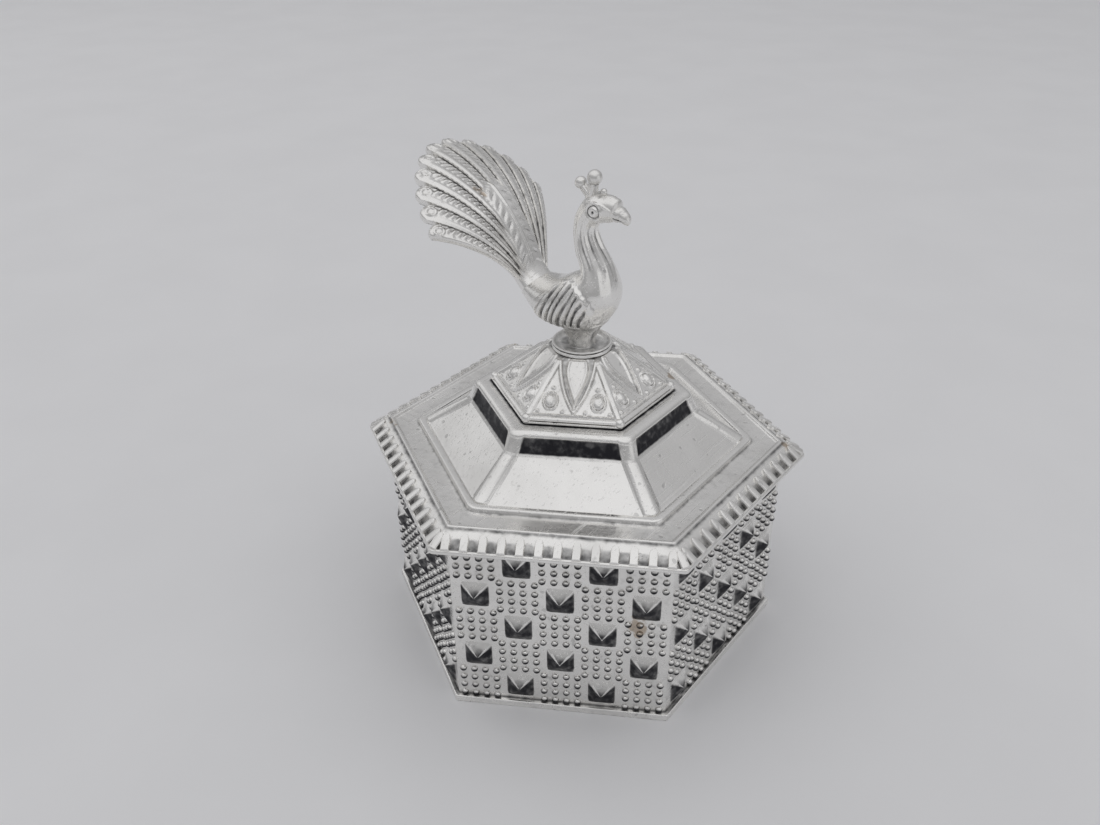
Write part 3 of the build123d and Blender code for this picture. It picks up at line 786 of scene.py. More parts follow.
def cap_relief(across, up, from_hip):
    """Height in millimetres and darkening at a place on a face: across it, up its slope, and off its hip."""
    x = np.abs(across)
    outer = x - petal_half(up, PETAL_TIP, cap_slope, PETAL_WIDTH)
    inner = x - leaf_half(up, LEAF_TIP, cap_slope + LEAF_PAST_TOP, LEAF_WIDTH)
    petal = PETAL_RISE * soft(np.abs(outer + 0.1), 0.24, 0.13)
    leaf = LEAF_RISE * soft(inner, -0.1, 0.15) - LEAF_DISH * soft(inner, -0.5, 0.2)
    trench = soft(outer, -0.3, 0.1) * soft(-inner, -0.12, 0.1)
    stud = np.hypot(x - STUD[0], (up - STUD[1]) / STUD_TALLNESS)
    ring = STUD_RING_RISE * soft(np.abs(stud - STUD_RING_RADIUS), 0.14, 0.1)
    dome = STUD_RISE * np.sqrt(np.clip(1 - (stud / STUD_RADIUS) ** 2, 0, 1))
    # The groove round each stud holds tarnish, and its lower half is darker still as a painted shadow.
    stud_groove_and_shadow = soft(np.abs(stud - STUD_RADIUS - 0.02), 0.05, 0.07) * (1.0 - 0.5 * soft(-up, -STUD[1], 0.6))
    to_bead = np.min([np.hypot(x - place[0], up - place[1]) for place in [HIGH_BEAD, *LOW_BEADS]], axis=0)
    beads = BEAD_RISE * soft(to_bead, BEAD_RADIUS, 0.14)
    bead_edge = soft(np.abs(to_bead - BEAD_RADIUS - 0.18), 0.05, 0.07)
    hip = CAP_HIP_RISE * soft(from_hip, CAP_HIP_HALF, 0.16)
    foot_line = FOOT_LINE_RISE * soft(np.abs(up - FOOT_LINE_UP), 0.14, 0.08) + 0 * x
    height = np.max([petal, leaf, ring, dome, beads, hip, foot_line], axis=0) - TRENCH_DEPTH * trench
    # Darkening: tarnish in the trench, the stud's groove, round the beads and outside the petal's ridge; the
    # trench also holds a painted dark reflection.
    dark = 0.28 * trench + 0.8 * stud_groove_and_shadow + 0.4 * bead_edge + 0.6 * soft(np.abs(outer - 0.26), 0.03, 0.07)
    return height, np.clip(0.1 + dark - 0.9 * height, 0, 1)


print(f"a face of the cap is {cap_slope:.1f} mm up its slope")

# %% Lotus cap
SLOPE_ROWS = 72
CAP_SHELL = 1.2
CAP_INNER_HALF = 9.9
CAP_BORE = 2.65
CAP_TOP_GAP = 0.02


def cap_rows():
    """Rows of the cap: down the slope in fine steps, round the bead, along the underside, up to the top."""
    t = np.linspace(0, 1, SLOPE_ROWS)[::-1]
    half = CAP_FOOT + (CAP_TOP - CAP_FOOT) * t
    face = np.stack([half, slope_z + CAP_RISE * t, 0.25 + 0 * t], axis=-1)
    face = np.concatenate([face, np.zeros((SLOPE_ROWS, 3))], axis=1)
    bead = eased([
        (11.98, slope_z - 0.1, 0.4, 0.4, 0, 0.06),
        (12.1, slope_z + 0.02, 0.5, 0, 0, 0.08),
        (cap_half - 0.1, slope_z - 0.15, 0.5, 0, 0, 0.2),
        (cap_half - 0.1, slope_z - 0.55, 0.5, 0.1, 0, 0.12),
        (cap_half - 0.4, slope_z - 0.65, 0.5, 0.95, 0, 0.05),
        (cap_half, slope_z - 0.75, 0.5, 0, 0, 0.08),
        (cap_half, plateau_z + 0.15, 0.5, 0.1, 0, 0.08),
        (cap_half - 0.2, plateau_z, 0.4, 1.0, 0, 0.1),
        (CAP_INNER_HALF, plateau_z, 0.3, 1.0, 0, 0.1),
        (CAP_INNER_HALF, slope_z, 0.3, 0.6, 0, 0.1),
        (CAP_TOP - 0.5, perch_z - CAP_SHELL, 0.3, 0.6, 0, 0.1),
        (CAP_BORE, perch_z - CAP_SHELL, CAP_BORE, 0.6, 0, 0.1),
        (CAP_BORE, perch_z - CAP_TOP_GAP, CAP_BORE, 0.6, 0, 0.1),
        (CAP_TOP - 0.2, perch_z - CAP_TOP_GAP, 0.4, 0.6, 0, 0.05),
    ], steps=3)
    return np.concatenate([face, bead])


def cap_skin():
    """The cap's rows carried round, with the relief on the rows of the slope."""
    rows = cap_rows()
    stations = Stations(np.linspace(-1, 1, 96), corner_steps=3)
    side_half = (rows[:, [0]] - rows[:, [2]]) * HALF_SECTOR
    across = side_half * stations.reach
    up = (rows[:, [1]] - slope_z) / CAP_RISE * cap_slope
    height, dark = cap_relief(across, up, side_half - np.abs(across))
    on_slope = (np.arange(len(rows)) < SLOPE_ROWS)[:, None]
    fade_top = np.clip((cap_slope - up) / 0.5, 0, 1)
    tarnish_and_shade = np.where(on_slope, dark, rows[:, [3]])
    return carried_round(rows, stations, np.where(on_slope, height * fade_top, 0), tarnish_and_shade)


def ball(radius, rows=10, columns=16):
    """Sphere over latitude and turn."""
    latitude = np.linspace(-np.pi / 2, np.pi / 2, rows)[:, None]
    turn = np.linspace(0, 2 * np.pi, columns, endpoint=False)[None, :]
    ring = np.cos(latitude)
    shape = [ring * np.cos(turn), ring * np.sin(turn), np.sin(latitude) + 0 * turn]
    return closed_grid(radius * np.stack(shape, axis=-1))


CORNER_BALL = 0.78
CORNER_BALL_INSET = 0.62
CORNER_BALL_DROP = 0.45
corner_out, corner_across, corner_up = side_axes(np.arange(SIDES) + 0.5)
corner_reach = (cap_half - CORNER_BALL_INSET) / np.cos(np.pi / SIDES)
corner_places = corner_reach * corner_out + (slope_z - CORNER_BALL_DROP) * corner_up
corner_balls = stamped(ball(CORNER_BALL), corner_places, corner_across, corner_up, corner_out)
make_piece("lotus_cap_petals", [cap_skin(), corner_balls], "lid", ["lotus_cap"], silver)

# %% [markdown]
# ## The peacock
# The bird is one casting. Its trunk, neck and head are one skin: ellipses set across a curve through their
# middles, from the rump to the brow. The beak is a second, smaller one. Feathers, eyes and the mouth are
# lifted or cut into the skins by functions of the place along the bird and the turn round it. Sculpting by
# hand would be freer, but sections can be read off a side view and changed one number at a time.

# %% Sections of the bird
# Forward, up from the perch, lean of the section, half width and half depth
BIRD_SECTIONS = [
    (-8.7, 8.3, -40, 3.4, 2.2),
    (-5.2, 7.2, -14, 4.8, 3.3),
    (-1.2, 7.7, 2, 5.2, 4.3),
    (2.2, 8.8, 22, 4.7, 4.4),
    (3.6, 11.2, 50, 3.8, 3.5),
    (2.8, 13.9, 80, 2.8, 2.6),
    (1.3, 16.6, 106, 2.1, 1.95),
    (0.7, 19.4, 94, 1.85, 1.7),
    (1.25, 21.3, 62, 1.9, 1.9),
    (2.7, 22.7, 24, 2.0, 2.2),
    (4.2, 22.95, 2, 1.9, 2.05),
    (5.4, 23.0, -6, 1.6, 1.85),
    (6.2, 23.0, -10, 1.1, 1.25),
    (6.5, 23.0, -10, 0.3, 0.35),
]
BEAK_SECTIONS = [
    (4.8, 22.6, -8, 1.35, 1.3),
    (6.1, 22.6, -14, 1.25, 1.2),
    (7.0, 22.35, -28, 1.05, 1.0),
    (7.6, 21.95, -52, 0.8, 0.75),
    (7.8, 21.45, -76, 0.45, 0.42),
    (7.8, 21.2, -86, 0.08, 0.08),
]


def smooth_through(rows, count):
    """Cubic curve through rows, with slopes taken from each row's neighbours, at even steps of length."""
    rows = np.array(rows, float)
    knots = np.concatenate([[0], np.cumsum(np.hypot(*np.diff(rows[:, :2], axis=0).T))])
    slopes = np.gradient(rows, knots, axis=0)
    t = np.linspace(0, knots[-1], count)
    i = np.clip(np.searchsorted(knots, t, side="right") - 1, 0, len(knots) - 2)
    span = (knots[i + 1] - knots[i])[:, None]
    s = (t[:, None] - knots[i][:, None]) / span
    start = rows[i] * (1 + 2 * s) * (1 - s) ** 2 + slopes[i] * span * s * (1 - s) ** 2
    end = rows[i + 1] * s**2 * (3 - 2 * s) + slopes[i + 1] * span * s**2 * (s - 1)
    return t[:, None], start + end


def hump(value, middle, half):
    """Round hump of height 1 on a line: half a cosine wave to each side of its middle."""
    return 0.5 + 0.5 * np.cos(np.pi * np.clip((value - middle) / half, -1, 1))


def length_skin(sections, count, columns, relief):
    """Point: middle + width sin(turn) sideways + depth cos(turn) along the section's own upward line.
    relief(along, degrees, forward, up) gives a height that widens the ellipse, and a darkening."""
    along, rows = smooth_through(sections, count)
    degrees = np.linspace(0, 360, columns, endpoint=False)[None, :]
    turn = np.radians(degrees)
    forward, up, lean, width, depth = (rows[:, [column]] for column in range(5))
    lean = np.radians(lean)

    def place(lift):
        """Points of all the ellipses, widened by the lift."""
        aside = (width + lift) * np.sin(turn)
        rise = (depth + lift) * np.cos(turn)
        return np.stack([forward - np.sin(lean) * rise, aside, up + np.cos(lean) * rise], axis=-1)

    plain = place(0)
    height, tarnish_and_shade = relief(along, degrees, plain[..., 0], plain[..., 2])
    shaped = place(height)
    poles = shaped.mean(axis=1, keepdims=True)[[0, -1]] + 0 * shaped[[0, -1]]
    points = np.concatenate([poles[:1], shaped, poles[1:]]) + [0, 0, perch_z]
    return closed_grid(points, np.concatenate([tarnish_and_shade[:1], tarnish_and_shade, tarnish_and_shade[-1:]]))


print(len(BIRD_SECTIONS), "sections of the bird and", len(BEAK_SECTIONS), "of the beak")

# %% [markdown]
# The relief has a wing of slanted feathers on each side, long flutes up the neck, an eye of rings under a
# brow, and the slit of the beak. The turn is 0 along the back and 180 degrees under the belly.

# %% Relief of the bird
WING_MIDDLE = (8.2, 96)
WING_HALF = (4.9, 64)
WING_RISE = 0.36
QUILL_PITCH = 0.98
QUILL_LEAN = 64
QUILL_DEPTH = 0.4
NECK_MIDDLE = 20.5
NECK_HALF = 7.5
FLUTES = 9
FLUTE_HEIGHT = 0.17
EYE = (3.2, 22.75)
EYELID_RADIUS = 1.22
EYE_RING_RADIUS = 0.93
IRIS_RADIUS = 0.72
PUPIL_RADIUS = 0.2
EYELID_RISE = 0.2
EYE_RING_DEPTH = 0.1
IRIS_RISE = 0.18
PUPIL_DEPTH = 0.22
BROW_ABOVE_EYE = 1.35
BROW_PEAK_BACK = 0.4
BROW_CURVE = 0.09
BROW_RISE = 0.16
HEAD_START = 24.5
MOUTH_TURN = 112
MOUTH_FROM = 0.8
MOUTH_TO = 3.9
MOUTH_DEPTH = 0.16
CERE_PLACE = 1.75
CERE_RISE = 0.08


def wing_relief(along, side, forward, up):
    """Raised oval with a wavy edge, cut by slightly uneven grooves that lean forward."""
    place = np.hypot((along - WING_MIDDLE[0]) / WING_HALF[0], (side - WING_MIDDLE[1]) / WING_HALF[1])
    lean = np.radians(QUILL_LEAN)
    phase = 2 * np.pi * (np.sin(lean) * forward - np.cos(lean) * up) / QUILL_PITCH
    phase = phase + 0.6 * np.sin(1.9 * along + 0.06 * side)
    edge = place + 0.02 * np.cos(phase)
    vane = soft(place, 0.88, 0.1)
    groove = soft(np.cos(phase), -0.35, 0.35)
    height = WING_RISE * soft(edge, 1.0, 0.06) - QUILL_DEPTH * groove * vane
    return height, 0.65 * groove * vane + 0.45 * soft(np.abs(edge - 1.06), 0.03, 0.04)


def eye_relief(radius):
    """Raised lid, dark ring, flat iris and pupil pit, by the distance from the eye's middle."""
    ring = soft(np.abs(radius - EYE_RING_RADIUS), 0.09, 0.09)
    pupil = soft(radius, PUPIL_RADIUS, 0.1)
    eyelid = EYELID_RISE * soft(np.abs(radius - EYELID_RADIUS), 0.12, 0.1)
    iris = IRIS_RISE * soft(radius, IRIS_RADIUS, 0.1)
    height = eyelid + iris - EYE_RING_DEPTH * ring - PUPIL_DEPTH * pupil
    return height, 0.8 * ring + 0.9 * pupil


def bird_relief(along, degrees, forward, up):
    """Height and darkening of the wings, neck flutes, eyes and brows, with a painted shadow under each brow.
    """
    side = np.minimum(degrees, 360 - degrees)
    height, tarnish_and_shade = wing_relief(along, side, forward, up)
    neck = hump(along, NECK_MIDDLE, NECK_HALF)
    flute = np.cos(np.radians(FLUTES * degrees) + 0.5 * np.sin(0.8 * along))
    height = height + FLUTE_HEIGHT * neck * flute
    tarnish_and_shade = tarnish_and_shade + 0.6 * neck * soft(flute, -0.7, 0.2)
    flank = (np.abs(side - 90) < 65) & (along > HEAD_START)
    eye, dark = eye_relief(np.hypot(forward - EYE[0], up - EYE[1]))
    brow_line = EYE[1] + BROW_ABOVE_EYE - BROW_CURVE * (forward - EYE[0] + BROW_PEAK_BACK) ** 2
    brow = soft(np.abs(up - brow_line), 0.1, 0.14) * soft(np.abs(forward - EYE[0] - 0.8), 2.2, 0.3)
    # Painted shadow: a dark line under the brow, where the surface is not cut.
    painted_brow_shadow = soft(np.abs(up - brow_line + 0.32), 0.04, 0.08)
    painted_brow_shadow = painted_brow_shadow * soft(np.abs(forward - EYE[0] - 1.2), 1.6, 0.3)
    height = height + np.where(flank, eye + BROW_RISE * brow, 0)
    return height, np.clip(tarnish_and_shade + np.where(flank, dark + 0.4 * painted_brow_shadow, 0), 0, 1)


def beak_relief(along, degrees, forward, up):
    """A slit along each side for the mouth, and a raised edge where the beak leaves the face."""
    side = np.minimum(degrees, 360 - degrees)
    slit = soft(np.abs(side - MOUTH_TURN), 6, 7)
    slit = slit * soft(-along, -MOUTH_FROM, 0.3) * soft(along, MOUTH_TO, 0.2)
    cere = hump(along, CERE_PLACE, 0.4)
    return CERE_RISE * cere - MOUTH_DEPTH * slit, np.clip(0.9 * slit + 0.3 * hump(along, 2.2, 0.2), 0, 1)


print(FLUTES, "flutes on the neck, and a wing groove every", QUILL_PITCH, "mm")

# %% [markdown]
# The dished disc and the waisted stem under the bird are turned work. They use the carried outline again,
# in its circular form, and the stem swells to both sides, which gives the two legs.

# %% Perch and the whole bird
SPIGOT_RADIUS = 2.4
SPIGOT_DEPTH = 3.4
STEM_MIDDLE = 2.4
STEM_SPAN = 2.3
STEM_WIDEST = 3.2
STEM_FOOT = 0.6
LEG_SWELL = 0.3


def perch_skin():
    """Spigot, dished disc and waisted stem, turned; the stem widens sideways into two legs."""
    rows = eased([
        (AXIS_HALF, perch_z + 5.6, AXIS_HALF, 0, 0, 0),
        (4.4, perch_z + 5.0, 4.4, 0.1, 0, 0.3),
        (3.3, perch_z + 3.9, 3.3, 0.0, 0, 0.6),
        (2.6, perch_z + 2.6, 2.6, 0.0, 0, 0.6),
        (2.1, perch_z + 1.2, 2.1, 0.1, 0, 0.5),
        (2.2, perch_z + 0.45, 2.2, 0.6, 0, 0.2),
        (3.6, perch_z + 0.4, 3.6, 0.35, 0, 0.3),
        (4.2, perch_z + 0.75, 4.2, 0.5, 0, 0.1),
        (4.35, perch_z + 1.0, 4.35, 0.0, 0, 0.1),
        (4.6, perch_z + 1.0, 4.6, 0.0, 0, 0.1),
        (4.62, perch_z + 0.75, 4.62, 0.1, 0, 0.08),
        (4.4, perch_z + 0.6, 4.4, 0.95, 0, 0.05),
        (4.7, perch_z + 0.48, 4.7, 0.0, 0, 0.1),
        (4.75, perch_z + 0.1, 4.75, 0.0, 0, 0.08),
        (4.5, perch_z, 4.5, 0.6, 0, 0.05),
        (SPIGOT_RADIUS, perch_z, SPIGOT_RADIUS, 0.8, 0, 0.1),
        (SPIGOT_RADIUS, perch_z - SPIGOT_DEPTH, SPIGOT_RADIUS, 0.5, 0, 0.1),
        (AXIS_HALF, perch_z - SPIGOT_DEPTH, AXIS_HALF, 0.5, 0, 0),
    ], steps=5)
    stations = Stations(np.linspace(-1, 1, 2), corner_steps=11)
    turn = np.arctan2(stations.outward[..., 1], stations.outward[..., 0])
    half, height = rows[:, [0]], rows[:, [1]] - perch_z
    on_stem = hump(height, STEM_MIDDLE, STEM_SPAN) * (half < STEM_WIDEST) * (height > STEM_FOOT)
    sideways = np.abs(np.sin(turn))
    between = soft(sideways, 0.2, 0.2) * on_stem
    legs = LEG_SWELL * (on_stem * (sideways - 0.6) - between)
    tarnish_and_shade = np.clip(rows[:, [3]] + 0.6 * between, 0, 1)
    return carried_round(rows, stations, legs, tarnish_and_shade)


bird_skins = [
    length_skin(BIRD_SECTIONS, count=300, columns=132, relief=bird_relief),
    length_skin(BEAK_SECTIONS, count=60, columns=72, relief=beak_relief),
    perch_skin(),
]
make_piece("peacock", bird_skins, "lid", ["peacock_body"], silver, crease=50)

# %% [markdown]
# ## The crest
# Three plumes stand on the crown, each a fluted stalk that ends in a ball. A sphere set on a cone would
# show a joint. Here a plume is turned about its own slanting axis: the stalk's radius first, then the
# circle of the ball.

# %% Crest plumes
CREST_FOOT = (1.7, 24.2)
# Centre of the ball forward of the foot and above it, ball radius, stalk radius
PLUMES = [(0.4, 2.9, 1.1, 0.8), (-2.0, 1.7, 0.9, 0.7), (2.0, 1.1, 0.5, 0.4)]
PLUME_SUNK = 1.0
STALK_ROWS = 10
BALL_ROWS = 18
PLUME_COLUMNS = 30
STALK_FLUTES = 5
STALK_FLUTE_DEPTH = 0.1
STALK_FOOT = 1.15
STALK_END = 0.9


def plume(forward, rise, ball_radius, stalk):
    """Radius over the distance along the axis: a stalk, slightly waisted, then R sin(a) at -R cos(a)."""
    length = np.hypot(forward, rise)
    meet = np.arcsin(STALK_END * stalk / ball_radius)
    angle = np.linspace(meet, np.pi, BALL_ROWS)
    stalk_end = length - ball_radius * np.cos(meet)
    share = np.linspace(0, 1, STALK_ROWS)
    distance = np.concatenate([[-PLUME_SUNK], share * (stalk_end + PLUME_SUNK) - PLUME_SUNK])
    distance = np.concatenate([distance, length - ball_radius * np.cos(angle)])
    stalk_radius = stalk * (STALK_FOOT + (STALK_END - STALK_FOOT) * share)
    radius = np.concatenate([[0], stalk_radius, ball_radius * np.sin(angle)])
    turn = np.linspace(0, 2 * np.pi, PLUME_COLUMNS, endpoint=False)[None, :]
    on_stalk = (np.arange(len(radius)) <= STALK_ROWS)[:, None]
    flute = on_stalk * np.cos(STALK_FLUTES * turn)
    radius = radius[:, None] * (1 + STALK_FLUTE_DEPTH * flute)
    axis = np.array([forward, 0, rise]) / length
    ahead = np.array([rise, 0, -forward]) / length
    foot_place = np.array([CREST_FOOT[0], 0, perch_z + CREST_FOOT[1]])
    points = foot_place + distance[:, None, None] * axis
    points = points + (radius * np.cos(turn))[..., None] * ahead
    points = points + (radius * np.sin(turn))[..., None] * np.array([0, 1, 0])
    neck = hump(distance, stalk_end + 0.1, 0.35)[:, None]
    tarnish_and_shade = 0.45 * soft(flute, -0.5, 0.3) * on_stalk + 0.3 * neck
    return closed_grid(points, np.clip(tarnish_and_shade, 0, 1))


make_piece("crest_plumes", [plume(*row) for row in PLUMES], "lid", ["crest"], silver, crease=50)

# %% [markdown]
# ## The tail
# Twelve feathers spread from a point on the rump, each lying over the next like a roof tile. The fan is
# drawn flat and then pushed out on to a ball, which bends it back and to both sides. Twelve loose feathers
# would cut into one another, so it is one skin: rows count across the feathers, and columns run up the
# front to the tip and back down behind. Two rows share each edge between feathers, at different heights,
# which makes the step.

# %% Shape of the fan
FEATHERS = 12
FEATHER_PITCH = 7.6
FAN_APEX = (-8.75, 8.25)
FAN_LEAN = 39.5
FAN_BALL_RADIUS = 24.8
FAN_APEX_BACK = 15.1
FAN_LENGTH = 27.4
FAN_SHORTENING = 8.3
FAN_ROOT_SPREAD = 3.7
FAN_FLARE = 1.2
FAN_THICKNESS = 1.2
fan_widest = FEATHER_PITCH * (FEATHERS - 1) / 2
fan_lean = np.radians(FAN_LEAN)
fan_along = np.array([-np.cos(fan_lean), 0, np.sin(fan_lean)])
fan_left = np.array([0, 1, 0])
fan_out = np.array([np.sin(fan_lean), 0, np.cos(fan_lean)])
fan_apex = np.array([FAN_APEX[0], 0, perch_z + FAN_APEX[1]])
ball_depth = np.sqrt(FAN_BALL_RADIUS**2 - FAN_APEX_BACK**2)
ball_middle = fan_apex + FAN_APEX_BACK * fan_along - ball_depth * fan_out


def fan_length(degrees):
    """Length of the feather at an angle from the middle; the outer ones are shorter."""
    return FAN_LENGTH - FAN_SHORTENING * (np.abs(degrees) / fan_widest) ** 1.4


def fan_place(degrees, length, share):
    """Flat place at a share of a length: ahead of the ball's middle, and aside by a power of the share."""
    angle = np.radians(degrees)
    ahead = length * np.cos(angle) * share - FAN_APEX_BACK
    spread = (length - FAN_ROOT_SPREAD) * share**FAN_FLARE
    return ahead, (FAN_ROOT_SPREAD + spread) * np.sin(angle)


def on_ball(ahead, aside, lift):
    """Flat place pushed out on to the ball, and lifted off it along the radius."""
    height = np.sqrt(FAN_BALL_RADIUS**2 - ahead**2 - aside**2)
    radius = ahead[..., None] * fan_along + aside[..., None] * fan_left + height[..., None] * fan_out
    return ball_middle + radius * (1 + lift / FAN_BALL_RADIUS)[..., None]


print("ball of the fan centred at", ball_middle.round(1))

# %% [markdown]
# A feather has a smooth strip, a strip of slanting barbs and a small eye at its round tip. Along the spine
# of the fan, short curled strokes take the place of the feathers.

# %% Relief of the feathers
BARB_PITCH = 0.95
STEP_HEIGHT = 0.42
BARBS_FROM = 0.42
BARBS_MIDDLE = 0.69
BARBS_HALF = 0.21
BARB_SLANT = 0.9
BARB_RISE = 0.1
STRIP_MIDDLE = 0.22
STRIP_HALF = 0.26
STRIP_RISE = 0.12
FEATHER_TIP_WIDTH = 3.0
FEATHER_EYE_MIDDLE = 0.52
FEATHER_EYE_FROM_TIP = 1.5
FEATHER_EYE_RADIUS = 1.05
FEATHER_EYE_RING = 0.7
FEATHER_EYE_RISE = 0.2
FEATHER_PUPIL_RISE = 0.1
SPINE_ZONE = 2.5
SPINE_END = 0.58
SPINE_RISE = 0.3
MIDRIB_HALF = 0.16
MIDRIB_RISE = 0.2
CURL_PITCH = 1.65
CURL_PLACE = 1.4
CURL_RISE = 0.07


def feather_relief(u, distance, length):
    """Height and darkening on a feather: u runs from its lapping edge, 0, to its lapped edge, 1."""
    share = distance / length
    lap = STEP_HEIGHT * (1 - u)
    strip = STRIP_RISE * hump(u, STRIP_MIDDLE, STRIP_HALF)
    barbed = soft(-share, -BARBS_FROM, 0.05) * soft(np.abs(u - BARBS_MIDDLE), BARBS_HALF, 0.05)
    wave = np.cos(2 * np.pi * (distance / BARB_PITCH + BARB_SLANT * u))
    beside_eye = (u - FEATHER_EYE_MIDDLE) * FEATHER_TIP_WIDTH
    to_eye = np.hypot(distance - length + FEATHER_EYE_FROM_TIP, beside_eye)
    eye = soft(to_eye, FEATHER_EYE_RADIUS, 0.1)
    boss = FEATHER_EYE_RISE * soft(np.abs(to_eye - FEATHER_EYE_RING), 0.18, 0.14)
    boss = boss + FEATHER_PUPIL_RISE * soft(to_eye, 0.3, 0.1)
    height = lap + strip + BARB_RISE * barbed * wave * (1 - eye) + boss
    # Painted shadow along the lapped edge, under the next feather's step; the barbs' troughs hold tarnish and
    # a painted dark reflection.
    tarnish_and_shade = 0.75 * soft(-u, -0.975, 0.02) + 0.42 * barbed * soft(wave, -0.5, 0.35) * (1 - eye)
    return height, tarnish_and_shade + 0.6 * soft(np.abs(to_eye - 0.42), 0.05, 0.1)


def spine_relief(ahead, aside):
    """Midrib of the fan, with curled strokes along both sides of it."""
    x = np.abs(aside)
    curl = np.cos(2 * np.pi * ((ahead + 0.1 * x + 0.2 * x**2) / CURL_PITCH))
    beside = soft(np.abs(x - CURL_PLACE), 0.6, 0.4)
    height = SPINE_RISE + MIDRIB_RISE * soft(x, MIDRIB_HALF, 0.12) + CURL_RISE * beside * curl
    return height, 0.5 * beside * soft(curl, -0.85, 0.12) + 0.5 * soft(np.abs(x - 0.38), 0.04, 0.06)


def fan_relief(u, distance, length, ahead, aside):
    """Feathers outside the zone of the spine, and the spine inside it."""
    share = distance / length
    in_spine = soft(np.abs(aside), SPINE_ZONE, 0.35) * soft(share, SPINE_END, 0.04)
    feather, feather_dark = feather_relief(u, distance, length)
    spine, spine_dark = spine_relief(ahead, aside)
    height = feather + (spine - feather) * in_spine
    return height, np.clip(feather_dark + (spine_dark - feather_dark) * in_spine, 0, 1)


print(f"barbs every {BARB_PITCH} mm, from {BARBS_FROM:.0%} of a feather's length")

# %% Skin of the fan and of its root
FAN_ROWS = 19
FAN_COLUMNS = 180
FAN_START = 0.05
EDGE_LIFT = -0.45
TIP_ROUNDNESS = 0.93
TIP_EDGE = 0.55
SIDE_EDGE_ROWS = 6
POLISHED_LENGTH = 1.5
REAR_SWELL = 0.25


def fan_skin():
    """Front and back of the fan; their gap closes along a round edge at the tips and the two sides."""
    u = np.tile(np.linspace(0, 1, FAN_ROWS), FEATHERS)[:, None]
    number = np.repeat(np.arange(FEATHERS), FAN_ROWS)[:, None]
    degrees = (number + u - FEATHERS / 2) * FEATHER_PITCH
    length = fan_length((number + 0.5 - FEATHERS / 2) * FEATHER_PITCH)
    half = length * np.tan(np.radians(FEATHER_PITCH / 2))
    tip = length - half * (1 - np.sqrt(1 - (TIP_ROUNDNESS * (2 * u - 1)) ** 2))
    front = np.linspace(0, 1, FAN_COLUMNS)
    back = front[1:-1:4][::-1]
    run = FAN_START + (1 - FAN_START) * np.concatenate([front, back])[None, :]
    is_front = (np.arange(run.shape[1]) < len(front))[None, :]
    distance = run * tip
    ahead, aside = fan_place(degrees, length, distance / length)
    height, tarnish_and_shade = fan_relief(u, distance, length, ahead, aside)
    row = np.arange(len(u))[:, None]
    edge_row = np.minimum(row, row[::-1])
    closing = np.sqrt(1 - (1 - np.clip((tip - distance) / TIP_EDGE, 0, 1)) ** 2)
    closing = closing * np.sqrt(1 - (1 - np.clip(edge_row / SIDE_EDGE_ROWS, 0, 1)) ** 2)
    rear = -FAN_THICKNESS - REAR_SWELL * np.sin(np.pi * u) + 0 * run
    lift = EDGE_LIFT + (np.where(is_front, height, rear) - EDGE_LIFT) * closing
    polished_tip = np.clip((tip - distance) / POLISHED_LENGTH, 0, 1)
    tarnish_and_shade = np.where(is_front, tarnish_and_shade * polished_tip, 0.5 * soft(np.minimum(u, 1 - u), 0.06, 0.05))
    return closed_grid(on_ball(ahead, aside, lift), tarnish_and_shade)


# Sections of the root: forward, up from the perch, lean, half width and half depth
STUMP_SECTIONS = [
    (-7.4, 7.6, -32, 3.3, 2.0),
    (-9.1, 8.7, -52, 3.4, 1.8),
    (-10.4, 10.4, -70, 3.7, 1.5),
    (-11.3, 12.4, -66, 4.3, 1.2),
    (-12.2, 14.3, -61, 4.9, 1.0),
    (-13.3, 16.2, -56, 5.2, 0.6),
    (-13.7, 16.9, -54, 5.0, 0.1),
]


def stump_relief(along, degrees, forward, up):
    """No relief: the root is smooth."""
    return 0 * forward, 0.1 + 0 * forward


stump_skin = length_skin(STUMP_SECTIONS, count=40, columns=48, relief=stump_relief)
make_piece("tail_feathers", [fan_skin(), stump_skin], "lid", ["tail_fan"], silver)

# %% [markdown]
# ## Hidden metal
# The strip that centres the lid, the screw and its washer keep their solids, whose shapes are right. They
# only get the finish: silver on the strip, and darker steel on the two fixings.

# %% Finish on the kept solids
for node, finish in [("locating_strip", silver), ("finial_screw", steel), ("finial_washer", steel)]:
    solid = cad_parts[node]
    solid.data.materials.clear()
    solid.data.materials.append(finish)
    print(node, "keeps its solid, in", finish.name)

# %% [markdown]
# ## Floor, light and camera
# A pale floor and large soft lights stand round the box. Silver shows what surrounds it, so a broad light
# above gives bright upper faces, and the darker room near the horizon gives the dark steep ones. The
# lights stay at a level at which no part of the silver turns to plain white.

# %% Floor
FLOOR_RADIUS = 3.0
FLOOR_TONES = [(0.86, 0.86, 0.87, 1), (0.88, 0.88, 0.89, 1)]
FLOOR_ROUGHNESS = 0.75
MOTTLE_SCALE = 30


def floor_disc():
    """Flat disc of rings about the origin; the rings widen outwards."""
    turn = np.linspace(0, 2 * np.pi, 96, endpoint=False)[None, :]
    radius = FLOOR_RADIUS * (np.linspace(0, 1, 12) ** 2)[:, None]
    return np.stack([radius * np.cos(turn), radius * np.sin(turn), 0 * radius * turn], axis=-1)


